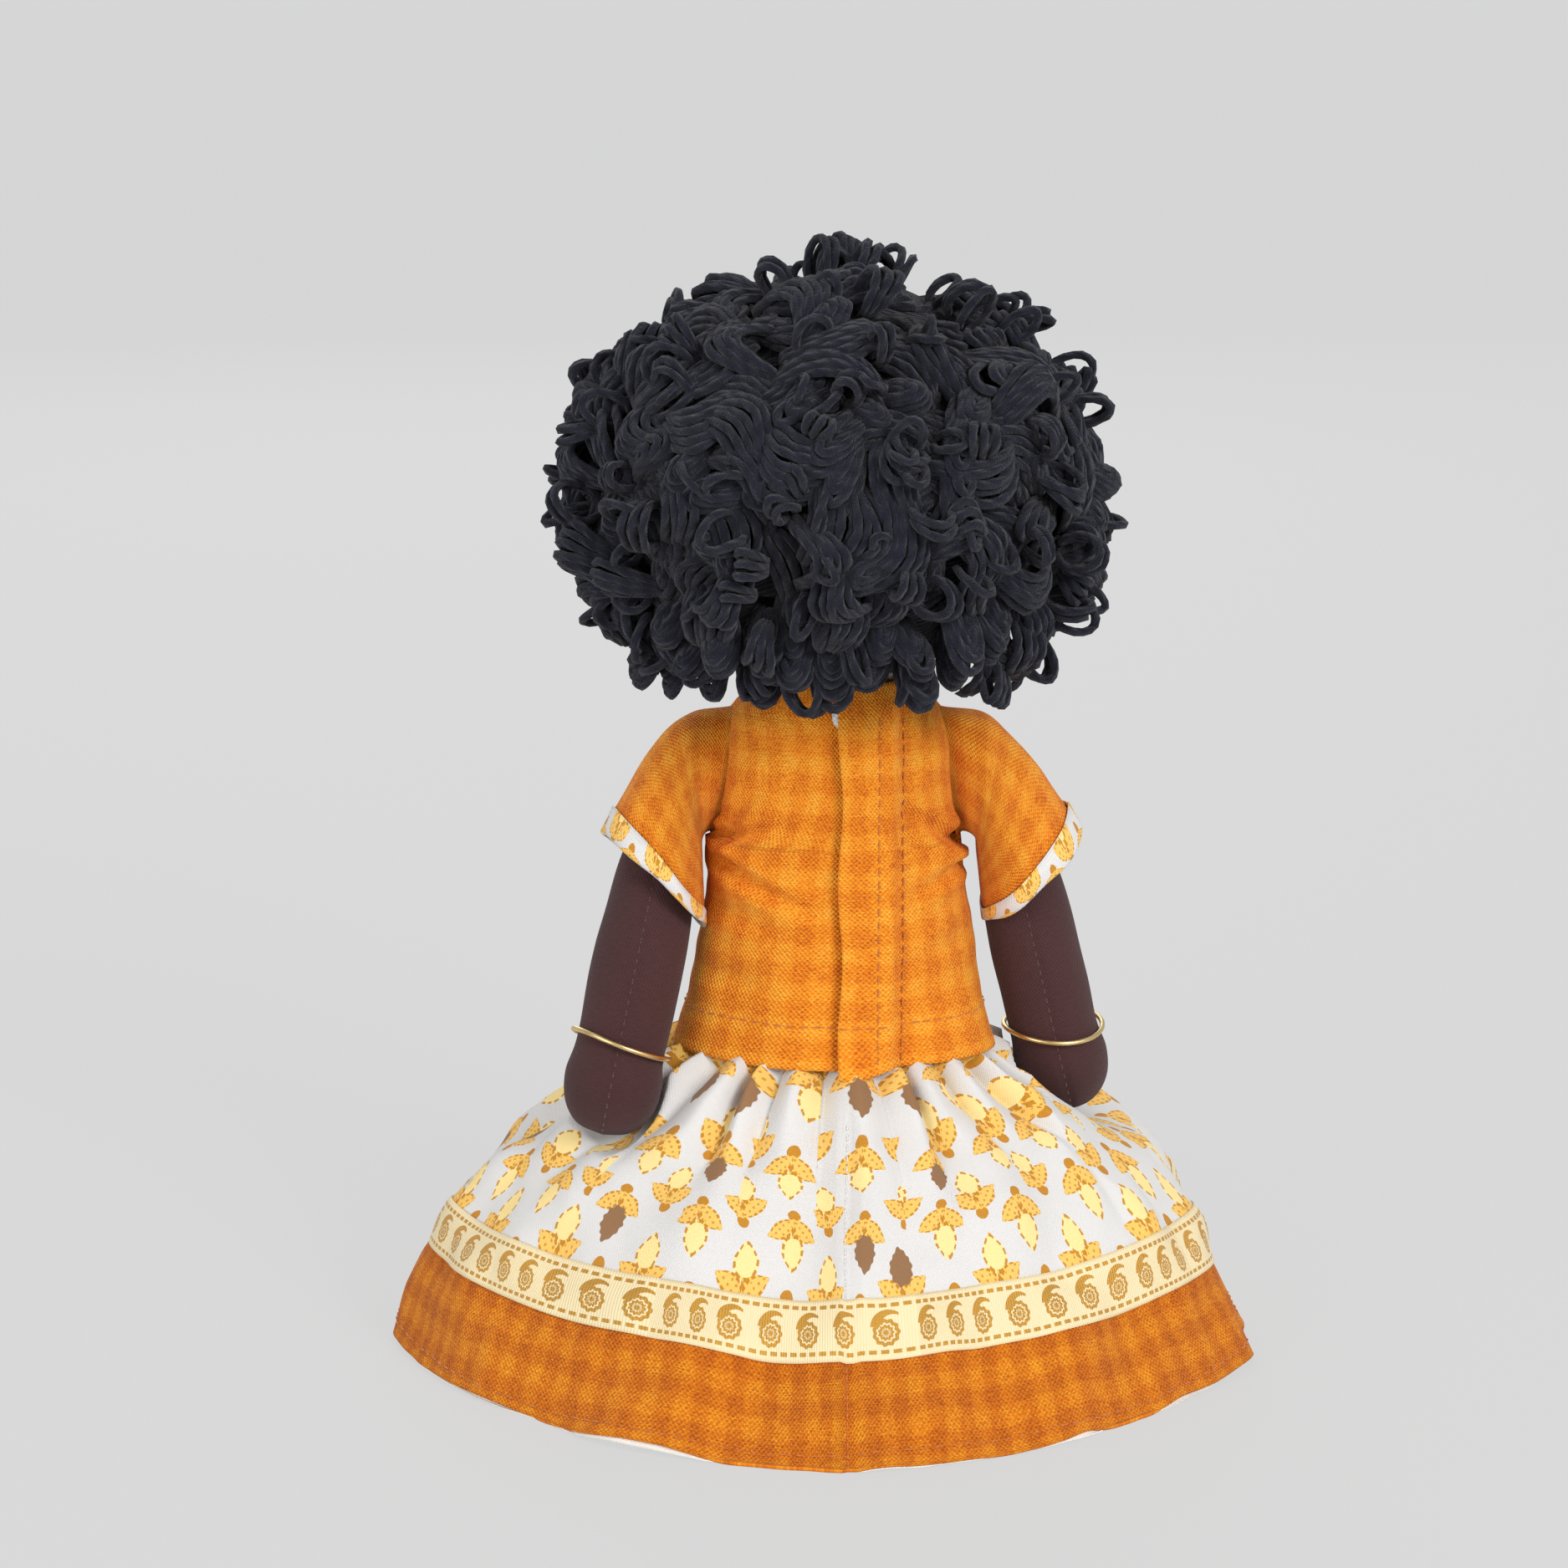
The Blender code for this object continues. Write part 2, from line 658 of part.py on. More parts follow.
def build_skirt():
    skirt_piece("skirt_print_tier", [0, 1, 2, 3, 4, 5, 6, TIER_JOIN - 0.04], "white_print", SKIRT_WALL)
    skirt_piece("skirt_hem_band", [TIER_JOIN, 7, 8, 9], "orange_check", SKIRT_WALL)
    skirt_piece("skirt_lace_border", [LACE_ROWS[0], TIER_JOIN, LACE_ROWS[1]], "lace_tape", 0.6, lift=1.0)
    inner = -(SKIRT_WALL + 3 * GAP)
    skirt_piece("skirt_facing", [7.1, 8.0, 8.8], "white_facing", 0.6, lift=inner)

    def ring(half_x, half_y, low, high):
        def point(across, row):
            x, y = oval(half_x, half_y, 360 * across)
            return x, y, low + (high - low) * row
        return point

    sheet("skirt_waistband", ring(32.2, 24.7, 81.0, 90.0), 32, 1, "white_print", wall=1.0)
    sheet("waist_elastic", ring(30.8, 23.3, 82.0, 88.5), 32, 1, "white_elastic", wall=0.7)


def build_doll():
    clear_scene()
    build_torso()
    build_blouse()
    build_skirt()

    neck_base = Vector((0.0, 0.0, NECK_PIVOT_Z))
    neck = pivot("neck_pivot", neck_base)
    build_neck(neck)
    head_base = Vector((0.0, 0.0, NECK_TOP_Z))
    head = pivot("head_pivot", head_base - neck_base, parent=neck)
    build_head(head, head_base)
    build_hair(head, head_base)
    build_face(head, head_base)

    for side, sign in (("left", 1.0), ("right", -1.0)):
        shoulder = pivot(
            f"shoulder_{side}_pivot",
            (sign * SHOULDER[0], SHOULDER[1], SHOULDER[2]),
            turn=(ARM_BACKWARD[side], 0.0, 0.0),
        )
        arm = pivot(f"arm_{side}_line", (0, 0, 0), parent=shoulder, turn=(0, -sign * ARM_OUTWARD[side], 0))
        build_arm(side, arm)
        build_bangle(side, arm)
        build_sleeve(side, sign, shoulder)
        hip = pivot(f"hip_{side}_pivot", (sign * HIP[0], HIP[1], HIP[2]))
        build_leg(side, hip)


build_doll()
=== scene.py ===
import math
import random

import bmesh
import bpy
from mathutils import Matrix, Vector, noise


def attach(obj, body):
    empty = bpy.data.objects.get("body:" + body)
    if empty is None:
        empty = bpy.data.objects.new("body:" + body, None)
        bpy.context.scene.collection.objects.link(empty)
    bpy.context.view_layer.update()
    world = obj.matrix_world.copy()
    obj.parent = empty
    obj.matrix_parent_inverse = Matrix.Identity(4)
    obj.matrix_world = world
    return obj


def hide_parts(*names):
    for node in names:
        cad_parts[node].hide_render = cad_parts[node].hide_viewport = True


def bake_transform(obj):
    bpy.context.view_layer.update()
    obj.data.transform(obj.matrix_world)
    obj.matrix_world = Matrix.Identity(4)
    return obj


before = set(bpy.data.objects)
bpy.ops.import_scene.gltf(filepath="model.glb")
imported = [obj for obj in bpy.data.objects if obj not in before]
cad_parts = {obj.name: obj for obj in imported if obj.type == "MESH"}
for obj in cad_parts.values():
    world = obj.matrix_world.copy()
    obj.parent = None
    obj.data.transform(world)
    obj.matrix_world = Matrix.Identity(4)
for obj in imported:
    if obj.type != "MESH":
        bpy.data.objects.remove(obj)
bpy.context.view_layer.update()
mm = 0.001
print("frame loaded")


class Signal:
    # shader maths, written as formulas on sockets
    def __init__(self, tree, socket):
        self.tree = tree
        self.socket = socket

    def calc(self, operation, *others):
        node = self.tree.nodes.new("ShaderNodeMath")
        node.operation = operation
        for slot, value in enumerate((self,) + others):
            if isinstance(value, Signal):
                self.tree.links.new(value.socket, node.inputs[slot])
            else:
                node.inputs[slot].default_value = value
        return Signal(self.tree, node.outputs[0])

    def __add__(self, other):
        return self.calc("ADD", other)

    def __sub__(self, other):
        return self.calc("SUBTRACT", other)

    def __mul__(self, other):
        return self.calc("MULTIPLY", other)

    def __truediv__(self, other):
        return self.calc("DIVIDE", other)

    def size(self):
        return self.calc("ABSOLUTE")

    def sin(self):
        return self.calc("SINE")

    def part(self):
        return self.calc("FRACT")

    def whole(self):
        return self.calc("FLOOR")

    def root(self):
        return self.calc("SQRT")

    def under(self, limit):
        return self.calc("LESS_THAN", limit)

    def over(self, limit):
        return self.calc("GREATER_THAN", limit)

    def least(self, other):
        return self.calc("MINIMUM", other)

    def most(self, other):
        return self.calc("MAXIMUM", other)

    def inside(self, limit, soft):
        # 1 below the limit, 0 above it, with a soft edge
        node = self.tree.nodes.new("ShaderNodeMapRange")
        node.interpolation_type = "SMOOTHSTEP"
        self.tree.links.new(self.socket, node.inputs["Value"])
        node.inputs["From Min"].default_value = limit - soft
        node.inputs["From Max"].default_value = limit + soft
        node.inputs["To Min"].default_value = 1.0
        node.inputs["To Max"].default_value = 0.0
        return Signal(self.tree, node.outputs["Result"])


class Finish:
    # one material: a Principled shader and what feeds it
    def __init__(self, name, roughness, sheen=0.0, metallic=0.0):
        self.material = bpy.data.materials.new(name)
        self.material.use_nodes = True
        self.tree = self.material.node_tree
        self.shader = self.tree.nodes["Principled BSDF"]
        self.shader.inputs["Roughness"].default_value = roughness
        self.shader.inputs["Metallic"].default_value = metallic
        self.shader.inputs["Sheen Weight"].default_value = sheen
        self.shader.inputs["Sheen Roughness"].default_value = 0.5
        self.shader.inputs["Specular IOR Level"].default_value = 0.3

    def uv(self, metresPerUnit=mm):
        # the piece's own map, in millimetres
        node = self.tree.nodes.new("ShaderNodeUVMap")
        node.uv_map = "UVMap"
        split = self.tree.nodes.new("ShaderNodeSeparateXYZ")
        self.tree.links.new(node.outputs["UV"], split.inputs[0])
        across = Signal(self.tree, split.outputs["X"]) / metresPerUnit
        along = Signal(self.tree, split.outputs["Y"]) / metresPerUnit
        return across, along

    def vector(self, x, y, z=0.0):
        node = self.tree.nodes.new("ShaderNodeCombineXYZ")
        for slot, value in zip("XYZ", (x, y, z)):
            if isinstance(value, Signal):
                self.tree.links.new(value.socket, node.inputs[slot])
            else:
                node.inputs[slot].default_value = value
        return node.outputs[0]

    def cloudy(self, x, y, detail=3.0, z=0.0):
        # noise from 0 to 1 at one cell for each unit of x and y
        node = self.tree.nodes.new("ShaderNodeTexNoise")
        node.inputs["Scale"].default_value = 1.0
        node.inputs["Detail"].default_value = detail
        self.tree.links.new(self.vector(x, y, z), node.inputs["Vector"])
        return Signal(self.tree, node.outputs["Fac"])

    def dice(self, x, y):
        # one even number from 0 to 1 for each whole x and y
        node = self.tree.nodes.new("ShaderNodeTexWhiteNoise")
        node.noise_dimensions = "2D"
        self.tree.links.new(self.vector(x, y), node.inputs["Vector"])
        return Signal(self.tree, node.outputs["Value"])

    def mix(self, factor, low, high):
        node = self.tree.nodes.new("ShaderNodeMix")
        node.data_type = "RGBA"
        node.clamp_factor = True
        self.tree.links.new(factor.socket, node.inputs["Factor"])
        for slot, value in (("A", low), ("B", high)):
            socket = [s for s in node.inputs if s.name == slot and s.type == "RGBA"][0]
            if isinstance(value, bpy.types.NodeSocket):
                self.tree.links.new(value, socket)
            else:
                socket.default_value = (*value, 1.0)
        return [s for s in node.outputs if s.type == "RGBA"][0]

    def colour(self, socket):
        self.tree.links.new(socket, self.shader.inputs["Base Color"])

    def bump(self, height, distance, strength=1.0):
        node = self.tree.nodes.new("ShaderNodeBump")
        node.inputs["Distance"].default_value = distance * mm
        node.inputs["Strength"].default_value = strength
        self.tree.links.new(height.socket, node.inputs["Height"])
        self.tree.links.new(node.outputs["Normal"], self.shader.inputs["Normal"])

    def weave(self, across, along, pitch):
        # plain weave: each thread rises over its neighbour in turn
        warp = (across * (math.pi / pitch)).sin()
        weft = (along * (math.pi / pitch)).sin()
        return warp * weft


def tint(red, green, blue):
    # a colour picked in 0 to 255 steps, as the linear values that shaders use
    return tuple((c / 255 / 12.92) if c < 11 else ((c / 255 + 0.055) / 1.055) ** 2.4
                 for c in (red, green, blue))


skinCloth = {"light": (86, 51, 51), "dark": (50, 27, 28), "thread": 0.42}


def makeSkin():
    cloth = Finish("brownCotton", roughness=0.92, sheen=0.1)
    across, along = cloth.uv()
    weave = cloth.weave(across, along, skinCloth["thread"])
    slub = cloth.cloudy(across * 0.5, along * 2.6, 4.0)
    patch = cloth.cloudy(across * 0.05, along * 0.05, 2.0)
    tone = weave * 0.16 + slub * 0.55 + patch * 0.45 - 0.08
    cloth.colour(cloth.mix(tone, tint(*skinCloth["dark"]), tint(*skinCloth["light"])))
    cloth.bump(weave * 0.5 + slub * 0.7, 0.16)
    return cloth.material


yarnLook = {
    "light": (29, 30, 49), "dark": (2, 2, 8), "plyTurn": 4.6, "plies": 3.0, "girth": 7.2,
    # middle and half, in metres: the hair's ellipsoid that the painted depth shade on the yarn is measured
    # from
    "middle": (0.0005, 0.004, 0.211), "half": (0.0605, 0.054, 0.0495),
}


def makeYarn():
    yarn = Finish("darkYarn", roughness=0.95, sheen=0.12)
    around, along = yarn.uv()
    ply = (along * (-2 * math.pi / yarnLook["plyTurn"])
           + around * (2 * math.pi * yarnLook["plies"] / yarnLook["girth"])).sin()
    fibre = yarn.cloudy(around * 2.6, along * 1.8 + around * 1.2, 6.0)
    patch = yarn.cloudy(around * 0.02, along * 0.03, 1.0)
    # painted shade: yarn deep in the hair, near the scalp, is darkened as if in shadow, and yarn that stands
    # out is lightened
    place = yarn.tree.nodes.new("ShaderNodeTexCoord")
    apart = yarn.tree.nodes.new("ShaderNodeSeparateXYZ")
    yarn.tree.links.new(place.outputs["Object"], apart.inputs[0])
    squares = []
    for axis, middle, half in zip("XYZ", yarnLook["middle"], yarnLook["half"]):
        off = (Signal(yarn.tree, apart.outputs[axis]) - middle) / half
        squares.append(off * off)
    outward = (squares[0] + squares[1] + squares[2] - 0.8) * 1.3
    # the painted depth shade is added to the yarn's tone here
    tone = ply * 0.2 + fibre * 1.3 + patch * 0.35 + outward.most(-0.3).least(0.35) - 0.66
    yarn.colour(yarn.mix(tone, tint(*yarnLook["dark"]), tint(*yarnLook["light"])))
    yarn.bump(ply * 0.5 + fibre * 1.8, 0.34)
    return yarn.material


checkLook = {
    "orangeCheck": {"light": (255, 190, 66), "middle": (246, 144, 22), "dark": (198, 88, 4),
                    "pitch": 9.2, "thread": 0.62},
    "hemCheck": {"light": (248, 170, 34), "middle": (216, 116, 4), "dark": (164, 72, 0),
                 "pitch": 8.6, "thread": 0.62},
}


def makeCheck(name):
    cloth = Finish(name, roughness=0.86, sheen=0.04)
    across, along = cloth.uv()
    look = checkLook[name]
    pitch = look["pitch"]
    drift = cloth.cloudy(across * 0.12, along * 0.12, 2.0, 11.0) * 2.4
    upBand = (across * (2 * math.pi / pitch) + drift).sin() * 2.4
    sideBand = (along * (2 * math.pi / pitch) + drift).sin() * 2.4
    band = upBand.most(-1.0).least(1.0) * 0.5 + sideBand.most(-1.0).least(1.0) * 0.5
    weave = cloth.weave(across, along, look["thread"])
    weftSlub = cloth.cloudy(across * 0.35, along * 2.4, 4.0)
    warpSlub = cloth.cloudy(across * 2.4, along * 0.3, 3.0, 7.0)
    dashes = cloth.cloudy(across * 1.1, along * 3.2, 2.0, 13.0)
    patch = cloth.cloudy(across * 0.06, along * 0.06, 2.0, 3.0)
    tone = band * 0.16 + weave * 0.2 + weftSlub * 0.9 + dashes * 1.1 + warpSlub * 0.4 + patch * 0.3 - 0.9
    base = cloth.mix(tone.least(0.5) * 2.0, tint(*look["dark"]), tint(*look["middle"]))
    cloth.colour(cloth.mix(tone * 2.0 - 1.0, base, tint(*look["light"])))
    cloth.bump(weave * 0.8 + weftSlub * 0.8 + dashes * 0.9 + warpSlub * 0.3, 0.26)
    return cloth.material


printLook = {
    "ground": (218, 216, 214), "bud": (252, 222, 142), "leaf": (246, 192, 74),
    "outline": (188, 124, 24), "brown": (146, 108, 74),
    "columnPitch": 11.9, "rowPitch": 17.4, "spread": 1.14, "scale": 1.08, "thread": 0.3,
}


def budPart(x, y):
    # pointed bud: 1 at its edge, smaller inside
    lifted = y - 9.4
    narrowing = (lifted / 4.0).most(0.0)
    wide = x / 3.1 * (narrowing * narrowing * 1.1 + 1.0)
    return (wide * wide + (lifted / 3.9) * (lifted / 3.9)).root()


def leafPart(x, y, lean, length, side):
    # pointed leaf from the stem's foot; gives how far along it and 1 at its edge
    c, s = math.cos(lean), math.sin(lean)
    along = x * (side * c) + (y - 1.7) * s
    off = (y - 1.7) * c - x * (side * s)
    share = (along / length).most(0.001).least(0.999)
    width = (share * math.pi).sin() * 2.1 + 0.05
    edge = (off + (share * math.pi).sin() * -0.7).size() / width
    beyond = (along - length * 0.5).size().over(length * 0.5) * 5.0
    return share, edge + beyond


def stampMotif(cloth, across, along, shiftX, shiftY, flip, brownShare):
    # one layout of the printed sprig; two of them interleave
    pitchX, pitchY = printLook["columnPitch"] * 2, printLook["rowPitch"]
    across, along = across + shiftX, along + shiftY
    column, row = (across / pitchX).whole(), (along / pitchY).whole()
    x = across - (column + 0.5) * pitchX + (row * 3.7 + column * 1.3).sin() * 0.9
    y = ((along - (row + 0.5) * pitchY) * flip + (row * 1.9 + column * 2.7).sin() * 0.8) + 6.8
    bud = budPart(x, y)
    brown = cloth.dice(column + 3.0 + shiftX, row + 7.0).under(brownShare)
    plain = brown * -1.0 + 1.0
    stalk = x.size().under(0.62) * (y - 3.0).size().under(3.4)
    stem = stalk.most((x * x + (y - 1.1) * (y - 1.1)).under(2.6))
    leafLeft, leftEdge = leafPart(x, y, 0.64, 8.5, -1.0)
    leafRight, rightEdge = leafPart(x, y, 0.72, 8.1, 1.0)
    leafEdge = leftEdge.least(rightEdge)
    share = leafLeft * leftEdge.under(1.0) + leafRight * leftEdge.over(1.0)
    leaf = leafEdge.inside(1.0, 0.06).most(stem)
    budMask = bud.inside(1.0, 0.03)
    # dashes run round the edges, and dots fill the leaves
    spin = x.calc("ARCTAN2", y - 9.4)
    budDash = bud.over(0.8) * budMask * (spin * 9.0).sin().over(-0.35)
    leafDash = leafEdge.over(0.7) * leaf * (share * 34.0).sin().over(-0.4)
    specks = ((x * 3.0).sin() * (y * 3.0).sin()).over(0.6) * leaf * leafEdge.under(0.6)
    brownBud = (bud + (spin * 11.0).sin() * 0.06).inside(0.98, 0.03) * brown
    outline = (budDash * plain).most(leafDash).most(specks * 0.8)
    return budMask * plain, leaf, outline, brownBud


def makePrint(name="blockPrint", scale=1.0, brownShare=0.11, spread=1.0):
    cloth = Finish(name, roughness=0.85, sheen=0.1)
    across, along = cloth.uv()
    x, y = across / (spread * scale), along / scale
    x = x + cloth.cloudy(x * 0.35, y * 0.35, 2.0) * 1.1
    fleck = cloth.cloudy(across * 1.6, along * 1.6, 3.0, 5.0)
    slub = cloth.cloudy(across * 0.25, along * 3.0, 2.0, 9.0)
    colour = cloth.mix(fleck * 0.1 + slub * 0.12, tint(*printLook["ground"]), tint(218, 210, 202))
    half = (printLook["columnPitch"], printLook["rowPitch"] / 2)
    for shiftX, shiftY, flip in ((0.0, 0.0, 1.0), (half[0], half[1], -1.0)):
        bud, leaf, outline, brownBud = stampMotif(cloth, x, y, shiftX, shiftY, flip, brownShare)
        faded = fleck * 0.3 + 0.75
        colour = cloth.mix(bud * faded, colour, tint(*printLook["bud"]))
        colour = cloth.mix(leaf * faded, colour, tint(*printLook["leaf"]))
        colour = cloth.mix(outline * faded, colour, tint(*printLook["outline"]))
        colour = cloth.mix(brownBud, colour, tint(*printLook["brown"]))
    cloth.colour(colour)
    weave = cloth.weave(across, along, printLook["thread"])
    cloth.bump(weave * 0.4 + fleck * 0.5 + slub * 0.4, 0.12)
    return cloth.material


laceLook = {
    "ground": (238, 219, 174), "gold": (224, 172, 74), "brown": (170, 120, 40),
    "pitch": 9.6, "width": 15.4, "edgeLine": 2.0, "rib": 0.62,
}


def makeLace():
    tape = Finish("goldTape", roughness=0.55, sheen=0.2)
    across, along = tape.uv()
    pitch = laceLook["pitch"]
    cell = (across / pitch).whole()
    x = across - (cell + 0.5) * pitch
    y = along * -1.0 + laceLook["width"] / 2
    # a scalloped paisley: a full round body, and a tail that thins as it curls over
    bodyX, bodyY = x - 0.3, (y + 1.0) / 1.2
    body = (bodyX * bodyX + bodyY * bodyY).root() + (bodyX.calc("ARCTAN2", bodyY) * 11.0).sin() * 0.16
    gap = (body - 1.75).size().under(0.2).most((body - 0.75).size().under(0.14))
    tailX, tailY = x - 1.3, (y - 0.2) / 1.2
    tail = (tailX * tailX + tailY * tailY).root() - 3.1
    thin = (tailX * -0.16 + 0.5).most(0.2)
    hook = (tail.size() - thin).under(0.0) * tailY.over(0.2) * tailX.under(1.7)
    motif = (body.under(2.75) * (gap * -1.0 + 1.0)).most(hook)
    fromEdge = y.size() * -1.0 + laceLook["width"] / 2
    line = (fromEdge - laceLook["edgeLine"]).size().under(0.5)
    dash = (across / 2.5).part().under(0.66)
    dashes = line * dash
    glint = tape.cloudy(across * 4.0, along * 4.0, 2.0)
    gold = motif.most(dashes)
    rib = (across * (2 * math.pi / laceLook["rib"])).sin()
    metal = tape.mix(glint * 1.6 - 0.3, tint(*laceLook["brown"]), tint(*laceLook["gold"]))
    ground = tape.mix(rib * 0.1 + 0.12, tint(*laceLook["ground"]), tint(214, 190, 140))
    tape.colour(tape.mix(gold, ground, metal))
    tape.tree.links.new((gold * 0.55).socket, tape.shader.inputs["Metallic"])
    tape.bump(rib * 0.35 + gold * 0.9 + glint * gold * 0.8, 0.14)
    return tape.material


def makeWhiteCotton(name="whiteCotton"):
    cloth = Finish(name, roughness=0.9, sheen=0.1)
    across, along = cloth.uv()
    weave = cloth.weave(across, along, 0.34)
    slub = cloth.cloudy(across * 0.6, along * 2.0, 3.0)
    cloth.colour(cloth.mix(slub * 0.5, tint(248, 246, 240), tint(216, 208, 196)))
    cloth.bump(weave * 0.5 + slub * 0.5, 0.12)
    return cloth.material


def makeThread(name, light, dark, sheen=0.4):
    thread = Finish(name, roughness=0.6, sheen=sheen)
    across, along = thread.uv()
    strand = ((across * 2.0 + along * 5.0) * 2.2).sin()
    fibre = thread.cloudy(across * 2.0, along * 4.0, 3.0)
    thread.colour(thread.mix(strand * 0.3 + fibre * 0.7, tint(*dark), tint(*light)))
    thread.bump(strand * 0.6 + fibre * 0.4, 0.1)
    return thread.material


def makeGoldWire():
    wire = Finish("bangleGold", roughness=0.34, metallic=1.0)
    across, along = wire.uv()
    wear = wire.cloudy(across * 0.8, along * 0.25, 4.0)
    wire.colour(wire.mix(wear * 1.1, tint(176, 138, 74), tint(244, 222, 166)))
    roughness = wear * 0.25 + 0.22
    wire.tree.links.new(roughness.socket, wire.shader.inputs["Roughness"])
    wire.bump(wear, 0.05)
    return wire.material


def makeElastic():
    band = Finish("whiteElastic", roughness=0.85)
    _, along = band.uv()
    rib = (along * (2 * math.pi / 1.1)).sin()
    band.colour(band.mix(rib * 0.25 + 0.4, tint(246, 245, 240), tint(206, 202, 194)))
    band.bump(rib, 0.2)
    return band.material


def makeClosureTape():
    tape = Finish("closureTape", roughness=0.8, sheen=0.3)
    across, along = tape.uv()
    nap = tape.cloudy(across * 3.2, along * 3.2, 4.0)
    hooks = (across * 6.0).sin() * (along * 6.0).sin()
    tape.colour(tape.mix(nap * 0.5 + hooks * 0.15, tint(246, 246, 242), tint(196, 194, 190)))
    tape.bump(nap + hooks * 0.5, 0.35)
    return tape.material


skinMat = makeSkin()
yarnMat = makeYarn()
checkMat = makeCheck("orangeCheck")
hemMat = makeCheck("hemCheck")
printMat = makePrint(scale=printLook["scale"], spread=printLook["spread"])
trimMat = makePrint("printTrim", 0.62, 0.12)
laceMat = makeLace()
whiteMat = makeWhiteCotton()
wireMat = makeGoldWire()
elasticMat = makeElastic()
closureMat = makeClosureTape()
orangeThread = makeThread("orangeThread", (226, 132, 34), (180, 92, 14))
brownThread = makeThread("brownThread", (112, 70, 66), (56, 30, 30))
blackThread = makeThread("blackThread", (46, 44, 48), (8, 8, 10))
whiteThread = makeThread("whiteThread", (252, 250, 246), (206, 202, 198))
redThread = makeThread("redThread", (190, 44, 44), (104, 12, 16))
print("materials made")


def smoothStep(value, low, high):
    t = min(1.0, max(0.0, (value - low) / (high - low)))
    return t * t * (3 - 2 * t)


def oval(halfX, halfY, degrees, power=2.0):
    c, s = math.cos(math.radians(degrees)), math.sin(math.radians(degrees))
    return (halfX * math.copysign(abs(c) ** (2 / power), c),
            halfY * math.copysign(abs(s) ** (2 / power), s))


def spline(rows, place):
    # smooth curve through rows of numbers, at a whole or part place
    count = len(rows)
    first = max(0, min(int(place), count - 2))
    t = place - first
    before = rows[max(first - 1, 0)]
    a, b = rows[first], rows[first + 1]
    after = rows[min(first + 2, count - 1)]
    return [0.5 * (2 * q + (r - p) * t + (2 * p - 5 * q + 4 * r - s) * t * t
                   + (3 * q - p - 3 * r + s) * t * t * t)
            for p, q, r, s in zip(before, a, b, after)]


def finishMesh(name, shape, material, outFrom=None):
    # normals outwards, then a smooth-shaded object with its place in its mesh
    bmesh.ops.recalc_face_normals(shape, faces=shape.faces)
    if outFrom is not None:
        facing = sum(face.normal.dot(face.calc_center_median() - outFrom) for face in shape.faces)
        if facing < 0:
            bmesh.ops.reverse_faces(shape, faces=shape.faces)
    mesh = bpy.data.meshes.new(name)
    shape.to_mesh(mesh)
    shape.free()
    mesh.shade_smooth()
    mesh.materials.append(material)
    piece = bpy.data.objects.new(name, mesh)
    bpy.context.scene.collection.objects.link(piece)
    return piece


def gridPiece(name, place, flat, columns, rows, material, cap=False, outFrom=(0, 0, 0.1)):
    # a grid bent to place(across, along), both 0 to 1, in millimetres; flat gives its map
    shape = bmesh.new()
    bmesh.ops.create_grid(shape, x_segments=columns, y_segments=rows, size=0.5)
    chart = shape.loops.layers.uv.new("UVMap")
    for face in shape.faces:
        middle = face.calc_center_median().x + 0.5
        for loop in face.loops:
            u, v = flat(loop.vert.co.x + 0.5, loop.vert.co.y + 0.5, middle)
            loop[chart].uv = (u * mm, v * mm)
    for vert in shape.verts:
        vert.co = Vector(place(vert.co.x + 0.5, vert.co.y + 0.5)) * mm
    bmesh.ops.remove_doubles(shape, verts=shape.verts, dist=1e-6)
    if cap:
        rim = [edge for edge in shape.edges if edge.is_boundary]
        bmesh.ops.holes_fill(shape, edges=rim, sides=0)
    return finishMesh(name, shape, material, Vector(outFrom))


def cut(width, length):
    # a plain flat piece of cloth, in millimetres
    return lambda across, along, middle: (across * width, along * length)


def thicken(piece, wall, offset=-1.0):
    layer = piece.modifiers.new("wall", "SOLIDIFY")
    layer.thickness = wall * mm
    layer.offset = offset
    layer.use_even_offset = False
    return piece


def stitchRun(name, points, material, length=2.6, gap=1.0, radius=0.22):
    # a row of machine stitches along points, each a small rounded bead of thread
    shape = bmesh.new()
    chart = shape.loops.layers.uv.new("UVMap")
    travelled, start = 0.0, None
    step = length + gap
    samples = []
    for a, b in zip(points, points[1:]):
        span = (b - a).length
        while start is None or travelled + span >= start:
            if start is None:
                start = 0.0
            t = (start - travelled) / span if span > 1e-9 else 0.0
            if t > 1:
                break
            samples.append((a.lerp(b, max(0.0, t)), (b - a).normalized()))
            start += step
        travelled += span
    for centre, heading in samples:
        turn = heading.to_track_quat("Z", "Y").to_matrix().to_4x4()
        size = Matrix.Diagonal((radius * mm, radius * mm, length * 0.5 * mm, 1.0))
        made = bmesh.ops.create_uvsphere(
            shape, u_segments=6, v_segments=5, radius=1.0,
            matrix=Matrix.Translation(centre * mm) @ turn @ size, calc_uvs=False)
        for face in {f for v in made["verts"] for f in v.link_faces}:
            for loop in face.loops:
                loop[chart].uv = (loop.vert.co.x + loop.vert.co.y, loop.vert.co.z)
    return finishMesh(name, shape, material)


viewPoint = {"distance": 1.0, "elevation": 12.0, "aim": (0.0125, 0.0, 0.1392), "lens": 96.0}


def makeCamera():
    aim = Vector(viewPoint["aim"])
    lift = math.radians(viewPoint["elevation"])
    away = Vector((0.0, math.cos(lift), math.sin(lift))) * viewPoint["distance"]
    data = bpy.data.cameras.new("camera")
    data.lens = viewPoint["lens"]
    data.sensor_width = 36.0
    data.clip_end = 30.0
    camera = bpy.data.objects.new("camera", data)
    bpy.context.scene.collection.objects.link(camera)
    camera.location = aim + away
    camera.rotation_euler = (-away).to_track_quat("-Z", "Y").to_euler()
    bpy.context.scene.camera = camera


